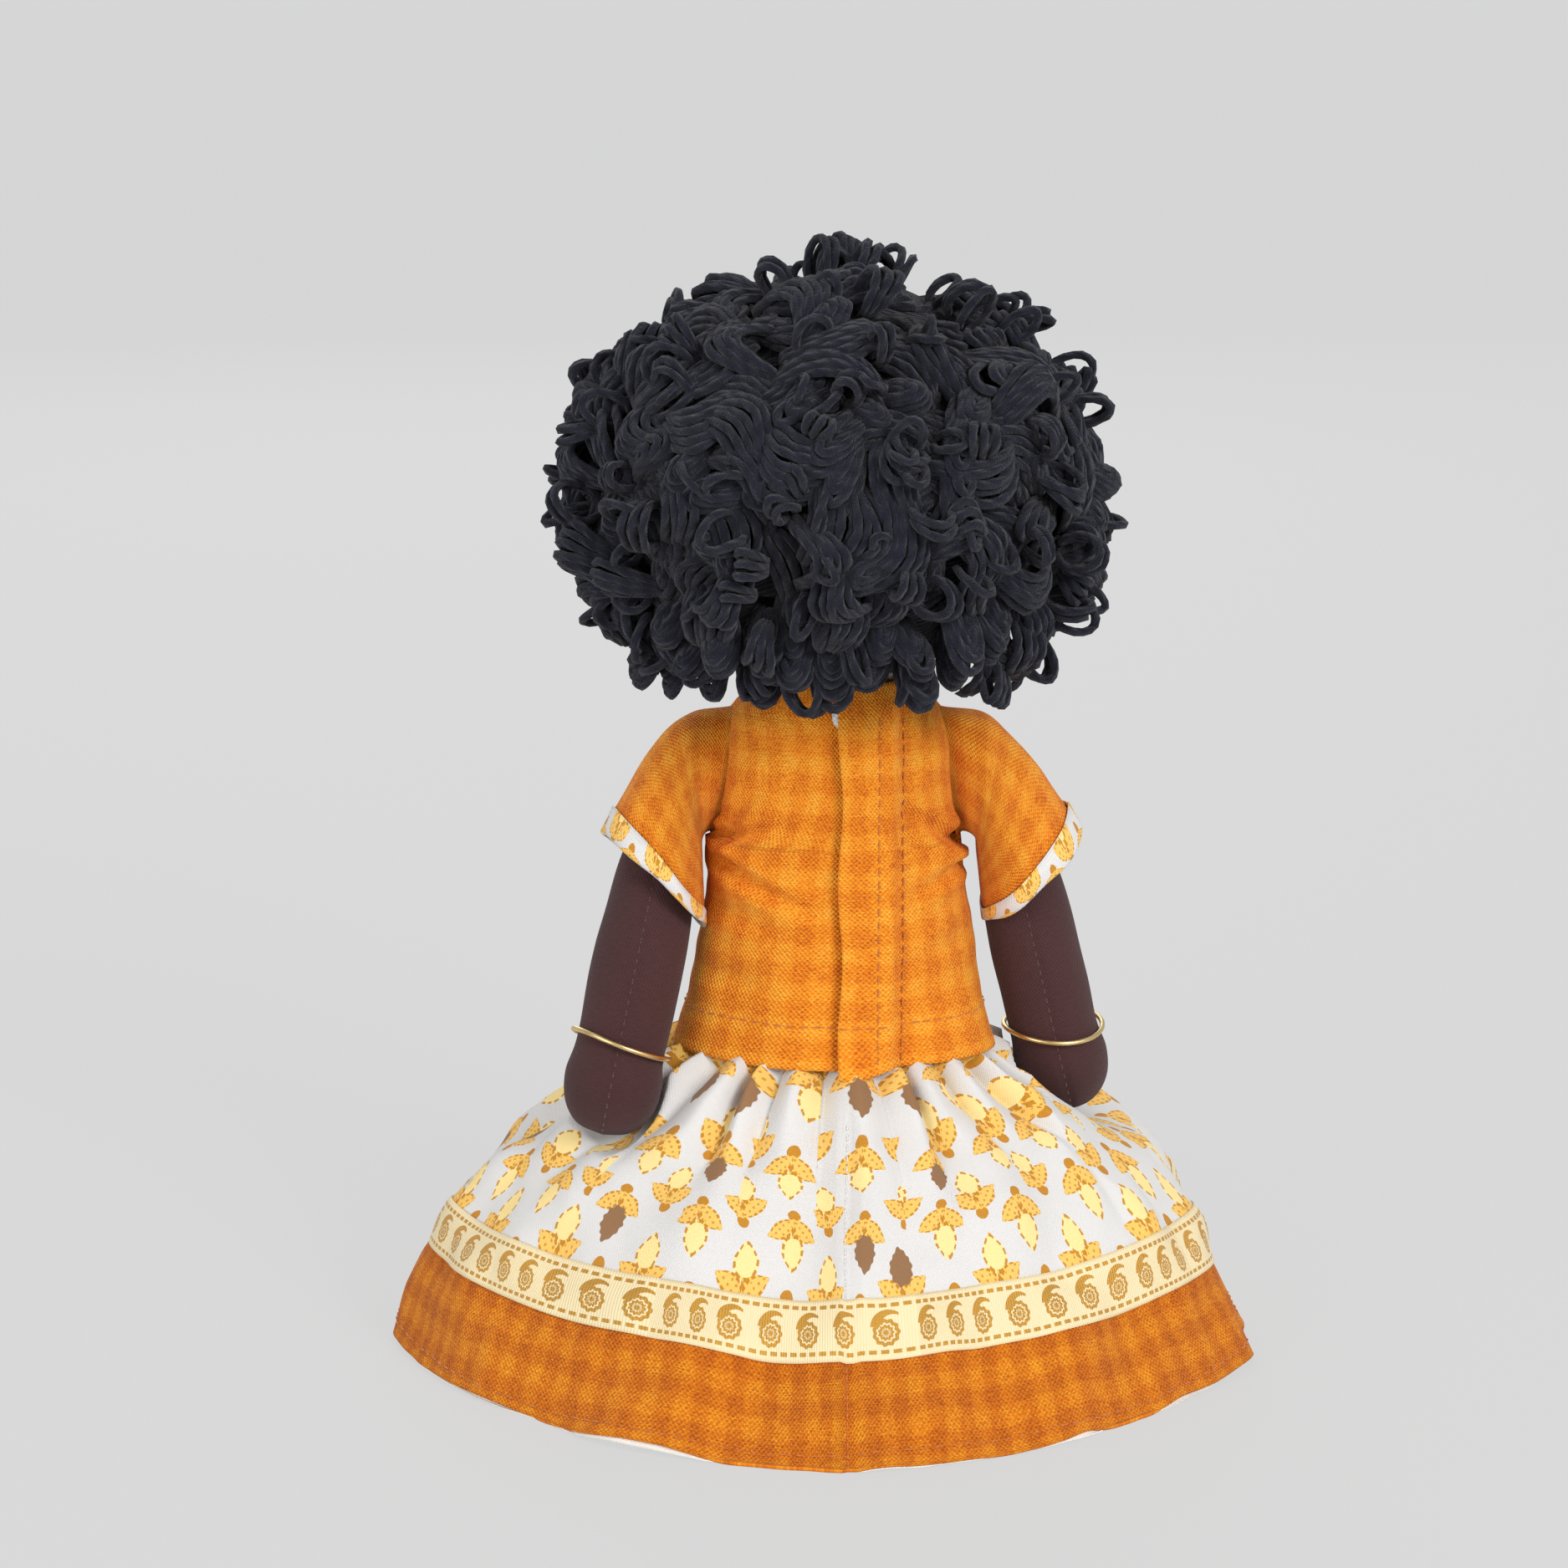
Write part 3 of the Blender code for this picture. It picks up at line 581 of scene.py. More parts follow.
studio = {
    "floorHalf": 30.0, "floor": 0.08, "floorGlow": 0.59, "world": (0.98, 0.99, 1.0), "worldStrength": 0.6,
    "lamps": [  # name, place, size, watts
        ("keyLamp", (-1.1, 1.5, 1.05), 0.7, 27.0),
        ("fillLamp", (1.3, 1.5, 0.6), 1.2, 15.0),
        ("topLamp", (0.0, -0.3, 2.2), 1.4, 1.5),
        ("frontLamp", (0.3, -1.9, 1.1), 1.2, 9.0),
    ],
}


def makeStudio():
    floorLook = Finish("paleFloor", roughness=0.95)
    coord = floorLook.tree.nodes.new("ShaderNodeTexCoord")
    grain = floorLook.tree.nodes.new("ShaderNodeTexNoise")
    grain.inputs["Scale"].default_value = 3.0
    floorLook.tree.links.new(coord.outputs["Object"], grain.inputs["Vector"])
    shade = Signal(floorLook.tree, grain.outputs["Fac"])
    grey = studio["floor"]
    floorLook.colour(floorLook.mix(shade * 0.2, (grey, grey, grey), (grey * 0.95, grey * 0.95, grey * 0.96)))
    floorLook.shader.inputs["Emission Color"].default_value = (1.0, 1.0, 1.0, 1.0)
    floorLook.shader.inputs["Emission Strength"].default_value = studio["floorGlow"]
    slab = bmesh.new()
    bmesh.ops.create_grid(slab, x_segments=2, y_segments=2, size=studio["floorHalf"])
    floor = finishMesh("floor", slab, floorLook.material, Vector((0, 0, -1)))
    world = bpy.data.worlds.new("studio")
    world.use_nodes = True
    back = world.node_tree.nodes["Background"]
    back.inputs["Color"].default_value = (*studio["world"], 1.0)
    back.inputs["Strength"].default_value = studio["worldStrength"]
    bpy.context.scene.world = world
    bpy.context.scene.view_settings.view_transform = "Standard"
    for name, place, size, watts in studio["lamps"]:
        data = bpy.data.lights.new(name, "AREA")
        data.size = size
        data.energy = watts
        lamp = bpy.data.objects.new(name, data)
        lamp.location = place
        lamp.rotation_euler = (Vector((0, 0, 0.14)) - Vector(place)).to_track_quat("-Z", "Y").to_euler()
        bpy.context.scene.collection.objects.link(lamp)


makeCamera()
makeStudio()
print("camera and studio made")


def dress(piece, body, slot, *nodes):
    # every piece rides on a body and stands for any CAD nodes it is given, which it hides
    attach(piece, body)
    if nodes:
        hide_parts(*nodes)
    return piece


def wrinkle(point, pitch, height, seed=0.0):
    # soft unevenness of stuffed or worn cloth
    place = Vector(point) / pitch + Vector((seed, seed * 1.7, seed * 0.3))
    return noise.noise(place) * height


bodyShape = {
    "torso": [(0, 0, 0), (18, 15, 0), (26, 20.5, 3.5), (30.5, 22.8, 12), (31.5, 23.4, 30),
              (30.3, 22.8, 60), (28.9, 21.6, 85), (27.7, 20.4, 110), (27, 19.4, 130),
              (25.2, 17.4, 146), (20, 15.4, 154.5), (14.6, 14.2, 157.5)],
    "neck": [(0, 0, -12), (6, 6, -10.4), (10.4, 10.4, -6), (12, 12, 0), (11.4, 11.4, 6), (11.2, 11.2, 15)],
    "neckBase": 158.0,
    "headCentre": 216.0,
    "headHalf": (43.0, 38.0, 43.5),
    "neckHole": 161.0,
    "fill": 0.85,
}


def makeTorso():
    rings = bodyShape["torso"]

    def place(across, along):
        a, b, z = spline(rings, along * (len(rings) - 1))
        x, y = oval(max(a, 0), max(b, 0), 360 * across, 2.2)
        out = 1 + wrinkle((x, y, z), 22, 0.02)
        return x * out, y * out, max(z, 0)

    torso = gridPiece("torsoBody", place, cut(178, 170), 56, 60, skinMat)
    dress(thicken(torso, 0.8), "torso", "brown_cloth", "torso_skin", "torso_stuffing")


def makeNeck():
    rings = bodyShape["neck"]

    def place(across, along):
        a, b, z = spline(rings, along * (len(rings) - 1))
        x, y = oval(max(a, 0), max(b, 0), 360 * across)
        return x, y, bodyShape["neckBase"] + z

    neck = gridPiece("neckBody", place, cut(75, 30), 32, 20, skinMat, outFrom=(0, 0, 0.158))
    dress(thicken(neck, 0.8), "neck", "brown_cloth", "neck_skin", "neck_stuffing")


def headPoint(polar, azimuth, grow=0.0):
    # polar angle from the crown; azimuth 0 is the face and 180 the back
    a, b, c = (h + grow for h in bodyShape["headHalf"])
    p, q = math.radians(polar), math.radians(azimuth)
    cheek = 1 + 0.03 * math.exp(-((polar - 112) / 22) ** 2)
    return Vector((a * cheek * math.sin(p) * math.sin(q), -b * math.sin(p) * math.cos(q),
                   bodyShape["headCentre"] + c * math.cos(p)))


def makeHead():
    def place(across, along):
        point = headPoint(bodyShape["neckHole"] * along, 360 * across)
        out = (point - Vector((0, 0, bodyShape["headCentre"]))).normalized()
        return point + out * wrinkle(point, 26, 0.7)

    head = gridPiece("headBody", place, cut(250, 125), 88, 60, skinMat, outFrom=(0, 0, 0.216))
    dress(thicken(head, 0.8), "head", "brown_cloth", "head_skin", "head_stuffing")


makeTorso()
makeNeck()
makeHead()
print("torso, neck and head made")


def addTube(shape, chart, path, radius, sides, rings, taper=0.08, rough=0.0):
    # path(t) gives a point in millimetres; radius may change along it; both ends close to a point
    made = bmesh.ops.create_grid(shape, x_segments=sides, y_segments=rings, size=0.5)
    centres = [Vector(path(k / rings)) for k in range(rings + 1)]
    spans = [0.0]
    for a, b in zip(centres, centres[1:]):
        spans.append(spans[-1] + (b - a).length)
    side = None
    frames = []
    for k in range(rings + 1):
        heading = (centres[min(k + 1, rings)] - centres[max(k - 1, 0)]).normalized()
        if side is None:
            side = heading.orthogonal().normalized()
        side = (side - heading * side.dot(heading)).normalized()
        frames.append((side, heading.cross(side)))
    girth = 2 * math.pi * radius
    cornerAt = {}
    for vert in made["verts"]:
        cornerAt[vert] = (vert.co.x + 0.5, round((vert.co.y + 0.5) * rings))
    for face in {f for v in made["verts"] for f in v.link_faces}:
        face.smooth = True
        for loop in face.loops:
            across, ring = cornerAt[loop.vert]
            loop[chart].uv = (across * girth * mm, spans[ring] * mm)
    for vert, (across, ring) in cornerAt.items():
        t = ring / rings
        thick = radius * min(1.0, (min(t, 1 - t) / taper) ** 0.5)
        one, two = frames[ring]
        turn = 2 * math.pi * across
        thick *= 1 + rough * noise.noise(centres[ring] * 0.8 + one * math.cos(turn) * 2.0)
        vert.co = (centres[ring] + (one * math.cos(turn) + two * math.sin(turn)) * thick) * mm


def startTubes():
    shape = bmesh.new()
    return shape, shape.loops.layers.uv.new("UVMap")


def closeTubes(name, shape, material):
    bmesh.ops.remove_doubles(shape, verts=shape.verts, dist=2e-7)
    return finishMesh(name, shape, material)


faceShape = {
    "eyes": {"x": 14.0, "z": -3.0, "half": (4.2, 5.0)},
    "brows": {"x": 15.0, "z": 9.0, "half": (6.0, 1.0)},
    "nose": {"z": -12.0, "half": (1.9, 1.1)},
    "mouth": {"z": -22.0, "half": (6.2, 1.5)},
    "thread": 0.34,
}


def onFace(x, z, lift):
    a, b, c = (h + lift for h in bodyShape["headHalf"])
    depth = b * math.sqrt(max(0.0, 1 - (x / a) ** 2 - (z / c) ** 2))
    return Vector((x, -depth - 0.25, bodyShape["headCentre"] + z))


def satin(shape, chart, x, z, half, upright=True, bow=0.0, lift=0.35):
    # close parallel stitches that fill an oval
    pitch = faceShape["thread"] * 1.5
    count = int(2 * (half[0] if upright else half[1]) / pitch)
    for k in range(count + 1):
        s = (k / count) * 2 - 1 if count else 0.0
        reach = math.sqrt(max(0.04, 1 - s * s * 0.98))

        def path(t, s=s, reach=reach):
            w = (2 * t - 1) * reach
            dx, dz = (s * half[0], w * half[1]) if upright else (w * half[0], s * half[1])
            crown = 0.5 * math.sqrt(max(0.0, 1 - (2 * t - 1) ** 2)) * reach
            return onFace(x + dx, z + dz + bow * (dx / half[0]) ** 2, lift + crown)

        addTube(shape, chart, path, faceShape["thread"], 5, 8, 0.12)


def makeFace():
    for side, sign in (("left", 1), ("right", -1)):
        eye, brow = faceShape["eyes"], faceShape["brows"]
        name = side.capitalize()
        shape, chart = startTubes()
        satin(shape, chart, sign * eye["x"], eye["z"], eye["half"])
        for lash in (-0.4, 0.1, 0.6):  # three short lashes at the outer corner
            def path(t, lash=lash):
                out = eye["half"][0] * (0.8 + 0.75 * t)
                return onFace(sign * (eye["x"] + out), eye["z"] + 2.0 + lash * 2 + t * (2.2 + lash), 0.4)
            addTube(shape, chart, path, faceShape["thread"] * 0.8, 5, 6, 0.12)
        dress(closeTubes("eye" + name, shape, blackThread), "head", "black_thread", "eye_" + side)
        shape, chart = startTubes()
        satin(shape, chart, sign * (eye["x"] + 1.2), eye["z"] + 1.8, (1.15, 1.25), lift=0.95)
        dress(closeTubes("eyeGlint" + name, shape, whiteThread), "head", "white_facing")
        shape, chart = startTubes()
        satin(shape, chart, sign * brow["x"], brow["z"], brow["half"], upright=False, bow=-1.6)
        dress(closeTubes("brow" + name, shape, blackThread), "head", "black_thread", "brow_" + side)
    nose, mouth = faceShape["nose"], faceShape["mouth"]
    shape, chart = startTubes()
    satin(shape, chart, 0.0, nose["z"], nose["half"], upright=False)
    dress(closeTubes("noseStitch", shape, redThread), "head", "red_thread", "nose_stitch")
    shape, chart = startTubes()
    satin(shape, chart, 0.0, mouth["z"], mouth["half"], upright=True, bow=2.2)
    dress(closeTubes("mouthStitch", shape, redThread), "head", "red_thread", "mouth_stitch")


makeFace()
print("face made")


hairShape = {
    "centre": (0.5, 4.0, 211.0),
    "half": (60.5, 54.0, 49.5),
    "rows": [  # piece, CAD node, polar angles, reach to each side of the back, bundles
        ("hairCrown", "hair_crown", 0.0, 36.0, 180.0, 40),
        ("hairUpper", "hair_row_upper", 37.0, 63.0, 148.0, 56),
        ("hairMiddle", "hair_row_middle", 64.0, 90.0, 118.0, 60),
        ("hairLower", "hair_row_lower", 91.0, 118.0, 112.0, 56),
        ("hairNape", "hair_row_nape", 119.0, 148.0, 98.0, 46),
    ],
    "yarnRadius": 1.2,
    "yarnRough": 0.35,
    "strandPitch": (2.1, 2.35),
    "knobShare": 0.16,
    "skeinShare": 0.4,
    "napeSkeinShare": 0.75,
    "loopShare": 0.5,  # single loops for each bundle
    "sides": 5,
    "rings": 13,
    "depth": 7.0,
    "lump": 5.0,
    "seed": 41,
}


def hairPoint(polar, azimuth, lift):
    # azimuth 0 is the back of the head, positive towards the left side
    p, q = math.radians(polar), math.radians(azimuth)
    half = [h + lift for h in hairShape["half"]]
    centre = hairShape["centre"]
    full = math.sin(p) ** (0.62 if polar > 90 else 0.9)  # square-set at the nape
    return Vector((centre[0] + half[0] * full * math.sin(q),
                   centre[1] + half[1] * full * math.cos(q),
                   centre[2] + half[2] * math.cos(p)))


def addBundle(shape, chart, polar, azimuth, dice):
    # parallel strands in a crescent, or a skein folded back on itself
    middle = Vector(hairShape["centre"])
    depth = hairShape["depth"] * 0.8
    centre = hairPoint(polar, azimuth, -depth)
    out = (centre - middle).normalized()
    lump = noise.noise(centre / 17 + Vector((3.1, 0.4, 1.7))) * hairShape["lump"]
    centre += out * lump
    nape = polar > 118
    if nape:
        out = Vector((out.x, out.y, 0.0)).normalized()
    down = Vector((0, 0, -1)) + out * out.z
    down = down.normalized() if down.length > 0.2 else Vector((0, 1, 0))
    swirl = noise.noise(centre / 30 + Vector((7.7, 1.9, 0.2))) * 240 + dice.uniform(-34, 34)
    if nape:
        swirl = dice.uniform(-16, 16)
    heading = Matrix.Rotation(math.radians(swirl), 3, out) @ down
    sideways = out.cross(heading)
    knob = dice.random() < hairShape["knobShare"] and not nape
    skein = dice.random() < hairShape["napeSkeinShare" if nape else "skeinShare"]
    length = dice.uniform(16, 22) if knob or nape else dice.uniform(23, 34)
    if nape:
        length *= 1 - 0.45 * smoothStep(abs(azimuth), 58, 84)
    strands = dice.randint(4, 7)
    bow = dice.uniform(5.0, 12.0) * dice.choice((-1, 1)) * (0.3 if nape else 1.0)
    height = dice.uniform(12, 15) if knob else dice.uniform(5.0, 12.0)
    if polar < 20:
        height = min(height, 8.0)
    core = [h - depth + lump for h in hairShape["half"]]

    def onHead(flat, lift):
        if nape:
            return flat + out * lift
        away = flat - middle
        scale = math.sqrt(sum((c / h) ** 2 for c, h in zip(away, core)))
        return middle + away / max(scale, 0.2) + out * lift

    for strand in range(strands):
        lane = strand - (strands - 1) / 2
        wide = lane * dice.uniform(*hairShape["strandPitch"])
        long = length * dice.uniform(0.9, 1.06)
        high = height * (1 - 0.028 * lane * lane) + dice.uniform(-0.9, 0.9)
        shake = dice.uniform(0, 6.28)

        def crescent(t):
            swell = max(0.0, math.sin(math.pi * t))
            across = wide * (0.2 + 0.8 * swell ** 0.55) + bow * (swell - 0.6)
            across += 0.35 * math.sin(6 * t + shake)
            flat = centre + heading * ((t - 0.5) * long) + sideways * across
            return onHead(flat, high * swell ** 0.6 - 2.2)

        def folded(t):
            swell = max(0.0, math.sin(math.pi * t))
            across = (1.3 + 1.15 * strand) * math.cos(math.pi * t) * (0.35 + 0.65 * swell ** 0.5)
            along = swell ** 0.8 * (0.42 + 0.09 * strand) * long - 0.3 * long
            lift = (high - 0.55 * strand) * swell ** 0.45 - 2.0
            return onHead(centre + heading * along + sideways * (across + bow * 0.25 * swell), lift)

        if skein and strand >= 5:
            continue
        addTube(shape, chart, folded if skein else crescent, hairShape["yarnRadius"], hairShape["sides"],
                hairShape["rings"] + 3 * skein, rough=hairShape["yarnRough"])


def addLoop(shape, chart, polar, azimuth, dice):
    # a single loop that stands away from the rest
    centre = hairPoint(polar, azimuth, -3.5)
    out = (centre - Vector(hairShape["centre"])).normalized()
    if polar > 122:
        out = (out + Vector((0, 0, -0.9))).normalized()
    sideways = Matrix.Rotation(dice.uniform(0, 6.28), 3, out) @ out.orthogonal().normalized()
    tall, wide = dice.uniform(7.0, 13.0), dice.uniform(2.0, 5.2)
    lean = out.cross(sideways) * dice.uniform(-6, 6)
    beside = out.cross(sideways) * 2.2

    for strand in range(dice.choice((1, 1, 2, 3))):
        def path(t):
            rise = (1 - math.cos(2 * math.pi * t)) / 2
            sway = sideways * wide * math.sin(2 * math.pi * t) + beside * strand * (0.3 + rise)
            return centre + out * (tall - 0.8 * strand) * rise + sway + lean * rise * rise

        addTube(shape, chart, path, hairShape["yarnRadius"] * 0.9, hairShape["sides"], 18,
                rough=hairShape["yarnRough"])


def makeHairRow(name, node, first, last, reach, bundles, dice):
    shape, chart = startTubes()
    base = bmesh.ops.create_grid(shape, x_segments=24, y_segments=64, size=0.5)
    scalp = [h + 0.5 for h in bodyShape["headHalf"]]
    depth = hairShape["depth"]
    for face in {f for v in base["verts"] for f in v.link_faces}:
        for loop in face.loops:
            loop[chart].uv = (loop.vert.co.x * 90 * mm, loop.vert.co.y * 260 * mm)
    for vert in base["verts"]:
        around, azimuth = (vert.co.x + 0.5) * 2, reach * 2 * vert.co.y
        outer = around <= 1
        share = around if outer else 2 - around
        polar = first + (last - first) * min(max((share - 0.04) / 0.92, 0), 1)
        if outer and 0.02 < share < 0.98:
            rough = noise.noise(hairPoint(polar, azimuth, 0) / 6.5) * 2.4
            vert.co = hairPoint(polar, azimuth, rough - depth) * mm
        else:
            p, q = math.radians(polar), math.radians(azimuth)
            vert.co = Vector((scalp[0] * math.sin(p) * math.sin(q), scalp[1] * math.sin(p) * math.cos(q),
                              bodyShape["headCentre"] + scalp[2] * math.cos(p))) * mm
    bmesh.ops.remove_doubles(shape, verts=shape.verts, dist=2e-6)
    rim = [edge for edge in shape.edges if edge.is_boundary]
    bmesh.ops.holes_fill(shape, edges=rim, sides=0)
    for bundle in range(bundles):
        # an even spread over the band, with some chance
        turn = (bundle * 0.6180339887 + dice.random() * 0.06) % 1.0
        low, high = math.cos(math.radians(first)), math.cos(math.radians(last))
        polar = math.degrees(math.acos(low + (high - low) * (bundle + 0.5) / bundles))
        addBundle(shape, chart, polar, (turn * 2 - 1) * (reach - 3), dice)
    # the ends of each row by the face, and the top of the crown
    if reach < 180:
        spots = [(polar, side * (reach - 2)) for side in (-1, 1)
                 for polar in range(int(first) + 4, int(last), 8)]
    else:
        spots = [(9, turn * 72) for turn in range(5)]
    for polar, azimuth in spots:
        addBundle(shape, chart, polar + dice.uniform(-2, 2), azimuth + dice.uniform(-2, 2), dice)
    for _ in range(int(bundles * hairShape["loopShare"])):
        addLoop(shape, chart, dice.uniform(first, last), dice.uniform(-reach, reach) * 0.98, dice)
    dress(closeTubes(name, shape, yarnMat), "head", "dark_yarn", node)


def makeHair():
    dice = random.Random(hairShape["seed"])
    for name, node, first, last, reach, bundles in hairShape["rows"]:
        makeHairRow(name, node, first, last, reach, bundles, dice)


makeHair()
print("hair made")


armShape = {
    "shoulder": (37.5, 0.0, 144.0),
    "rings": [(0, 0, -6), (3.6, 7, -6), (4.8, 8.6, 0), (7.2, 9.6, 14), (9.6, 10, 28), (10.7, 10.3, 42),
              (10.7, 10.3, 58), (10.6, 10.4, 69.5), (11.6, 10.6, 77), (10.4, 9.4, 83.6),
              (6.4, 6.0, 88.4), (0, 0, 90)],
    "left": {"sign": 1, "outward": 11.6, "backward": 16.0, "bangleTilt": -6.0},
    "right": {"sign": -1, "outward": 13.2, "backward": -6.0, "bangleTilt": -13.0},
    "bangleRadius": 12.0, "bangleWire": 0.62, "bangleDrop": 68.3,
}


def shoulderFrame(side):
    pose = armShape[side]
    x, y, z = armShape["shoulder"]
    return (Matrix.Translation((pose["sign"] * x, y, z))
            @ Matrix.Rotation(math.radians(pose["backward"]), 4, "X"))


def armFrame(side):
    pose = armShape[side]
    return shoulderFrame(side) @ Matrix.Rotation(math.radians(-pose["sign"] * pose["outward"]), 4, "Y")


def armPlace(side):
    rings, hang = armShape["rings"], armFrame(side)
    seed = armShape[side]["sign"] * 3.1

    def place(across, along):
        a, b, drop = spline(rings, along * (len(rings) - 1))
        x, y = oval(max(a, 0.0), max(b, 0.0), 360 * across)
        # the sewn seam pulls in down the back and the front of the arm
        seam = 0.55 * math.exp(-((across - 0.25) / 0.012) ** 2)
        seam += 0.55 * math.exp(-((across - 0.75) / 0.012) ** 2)
        reach = max(math.hypot(x, y), 1e-6)
        out = 1 + (wrinkle((x, y, drop), 15, 0.5, seed) - seam * min(1.0, reach / 5)) / max(reach, 4.0)
        return hang @ Vector((x * out, y * out, -drop))

    return place


def makeArm(side):
    place = armPlace(side)
    name = side.capitalize()
    middle = armFrame(side) @ Vector((0, 0, -45)) * mm
    arm = gridPiece("arm" + name, place, cut(64, 96), 64, 72, skinMat, outFrom=middle)
    dress(arm, "arm_" + side, "brown_cloth", f"arm_{side}_skin", f"arm_{side}_stuffing")
    line = [Vector(place(0.25, k / 80)) for k in range(24, 78)]
    stitches = stitchRun("armSeam" + name, line, brownThread, 1.5, 1.0, 0.2)
    dress(stitches, "arm_" + side, "brown_cloth")


def makeBangle(side):
    # a round wire ring, spun from its section, a little out of true
    wire = bmesh.new()
    chart = wire.loops.layers.uv.new("UVMap")
    bmesh.ops.create_circle(wire, segments=10, radius=armShape["bangleWire"] * mm)
    bmesh.ops.rotate(wire, verts=wire.verts, cent=(0, 0, 0),
                     matrix=Matrix.Rotation(math.radians(90), 3, "X"))
    bmesh.ops.translate(wire, verts=wire.verts, vec=(armShape["bangleRadius"] * mm, 0, 0))
    bmesh.ops.spin(wire, geom=wire.verts[:] + wire.edges[:], cent=(0, 0, 0), axis=(0, 0, 1),
                   angle=math.radians(360), steps=96, use_merge=True)
    for face in wire.faces:
        for loop in face.loops:
            co = loop.vert.co
            turn = math.atan2(co.y, co.x)
            loop[chart].uv = (math.hypot(co.x, co.y) + co.z, turn * armShape["bangleRadius"] * mm)
    tilt = Matrix.Rotation(math.radians(armShape[side]["bangleTilt"]), 4, "Y")
    for vert in wire.verts:
        turn = math.atan2(vert.co.y, vert.co.x)
        vert.co.z += 0.5 * mm * math.sin(2 * turn + 0.6)
        local = tilt @ (vert.co / mm)
        local.z -= armShape["bangleDrop"]
        vert.co = armFrame(side) @ local * mm
    bmesh.ops.recalc_face_normals(wire, faces=wire.faces)
    bangle = finishMesh("bangle" + side.capitalize(), wire, wireMat)
    dress(bangle, "bangle_" + side, "gold_wire", "bangle_" + side)


blouseShape = {
    "rings": [  # height, half width, half depth
        (76.5, 38.6, 29.4), (80, 37.5, 28.4), (88, 35.3, 26.8), (100, 33, 25.6), (114, 31.2, 24.4),
        (126, 30.2, 23.6), (131, 30, 23.2), (137, 29.8, 22.8), (144, 29.4, 22), (151, 28.2, 20.6),
        (156.5, 26, 19.4), (160, 23.4, 18.6), (164, 19.8, 17.9), (167, 17.8, 17.4)],
    "armhole": {"z": 143.0, "halfHigh": 15.5, "left": 9.4, "right": 7.6},
    "underlapX": -14.0, "placketX": -0.6, "placketLift": 2.6, "hemStitchAt": 86.5,
    "wall": 0.5,
}


def blouseRing(z):
    rings = blouseShape["rings"]
    z = min(max(z, rings[0][0]), rings[-1][0])
    for k in range(len(rings) - 1):
        if z <= rings[k + 1][0]:
            part = (z - rings[k][0]) / (rings[k + 1][0] - rings[k][0])
            return spline([ring[1:] for ring in rings], k + part)
    return rings[-1][1:]


sleeveShape = {
    # upper x and z, lower x and z, from the shoulder, and half depth
    "left": [(-3.6, 12.8, -5.6, -17.6, 15.0), (2.6, 8.6, -5.6, -22.0, 15.6), (8.4, 1.6, -5.8, -27.0, 16.4),
             (13.6, -7.0, -6.0, -32.6, 16.6), (18.4, -16.2, -6.0, -38.6, 15.8)],
    "right": [(-3.4, 12.8, -4.4, -17.6, 15.0), (3.2, 8.6, -3.8, -22.0, 15.6), (9.6, 1.6, -3.2, -27.0, 16.4),
              (15.6, -7.2, -2.6, -32.6, 16.6), (21.2, -16.8, -1.8, -38.4, 15.8)],
    "wall": 0.5,
    "cuffStart": 0.9,  # how far down the sleeve the binding begins
}


def sleevePlace(side):
    # from inside the armhole, over the shoulder and down to the slanted cuff
    sign, turned = armShape[side]["sign"], shoulderFrame(side)
    hole = blouseShape["armhole"]

    def onArmhole(angle, grow, lift):
        y = hole[side] * grow * math.cos(angle)
        z = hole["z"] + hole["halfHigh"] * grow * math.sin(angle)
        a, b = blouseRing(z)
        x = (a + lift) * math.sqrt(max(0.0, 1 - (y / (b + lift)) ** 2))
        return Vector((sign * x, y, z))

    def ring(row, angle):
        highX, highZ, lowX, lowZ, depth = row
        up = 0.5 + 0.5 * math.sin(angle)
        local = (sign * (lowX + (highX - lowX) * up), depth * math.cos(angle), lowZ + (highZ - lowZ) * up)
        return turned @ Vector(local)

    def place(across, along):
        angle = 2 * math.pi * across
        path = [onArmhole(angle, 1.07, -0.9), onArmhole(angle, 0.98, 0.3)]
        path += [ring(row, angle) for row in sleeveShape[side]]
        point = Vector(spline(path, along * (len(path) - 1)))
        centre = turned @ Vector((sign * (8.0 * along), 0, -12.0 * along))
        out = point - centre
        out.x = 0.0
        soft = smoothStep(along, 0.25, 0.5)
        fold = wrinkle(point, 11, 1.5, sign * 2.0) + 0.5 * math.sin(angle * 5 + along * 4 + sign)
        return point + out.normalized() * fold * soft * 0.8

    return place


def makeSleeve(side):
    place = sleevePlace(side)
    name, sign = side.capitalize(), armShape[side]["sign"]
    middle = Vector((sign * 0.040, 0, 0.136))
    cuffStart = sleeveShape["cuffStart"]

    def cloth(across, along):
        return place(across, along * cuffStart)

    sleeve = gridPiece("sleeve" + name, cloth, cut(100, 62), 88, 44, checkMat, outFrom=middle)
    thicken(sleeve, sleeveShape["wall"])
    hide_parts("sleeve_" + side)
    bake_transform(sleeve)

    def binding(across, along):
        # over the edge and back up inside
        reach = cuffStart - 0.01 + (1.0 - cuffStart + 0.01) * math.sin(math.pi * min(along, 1.0)) ** 0.6
        point = place(across, min(reach, 1.0))
        inner = 0.75 if along < 0.5 else -0.95
        ease = inner * min(1.0, abs(along - 0.5) / 0.16)
        centre = place(across + 0.5, min(reach, 1.0))
        return point + (point - centre).normalized() * ease

    edge = gridPiece(f"sleeve{name}Binding", binding, cut(104, 13), 88, 14, trimMat, outFrom=middle)
    dress(thicken(edge, 0.35), "arm_" + side, "white_facing", f"sleeve_{side}_binding")


for side in ("left", "right"):
    makeArm(side)
    makeBangle(side)
    makeSleeve(side)
print("arms, bangles and sleeves made")


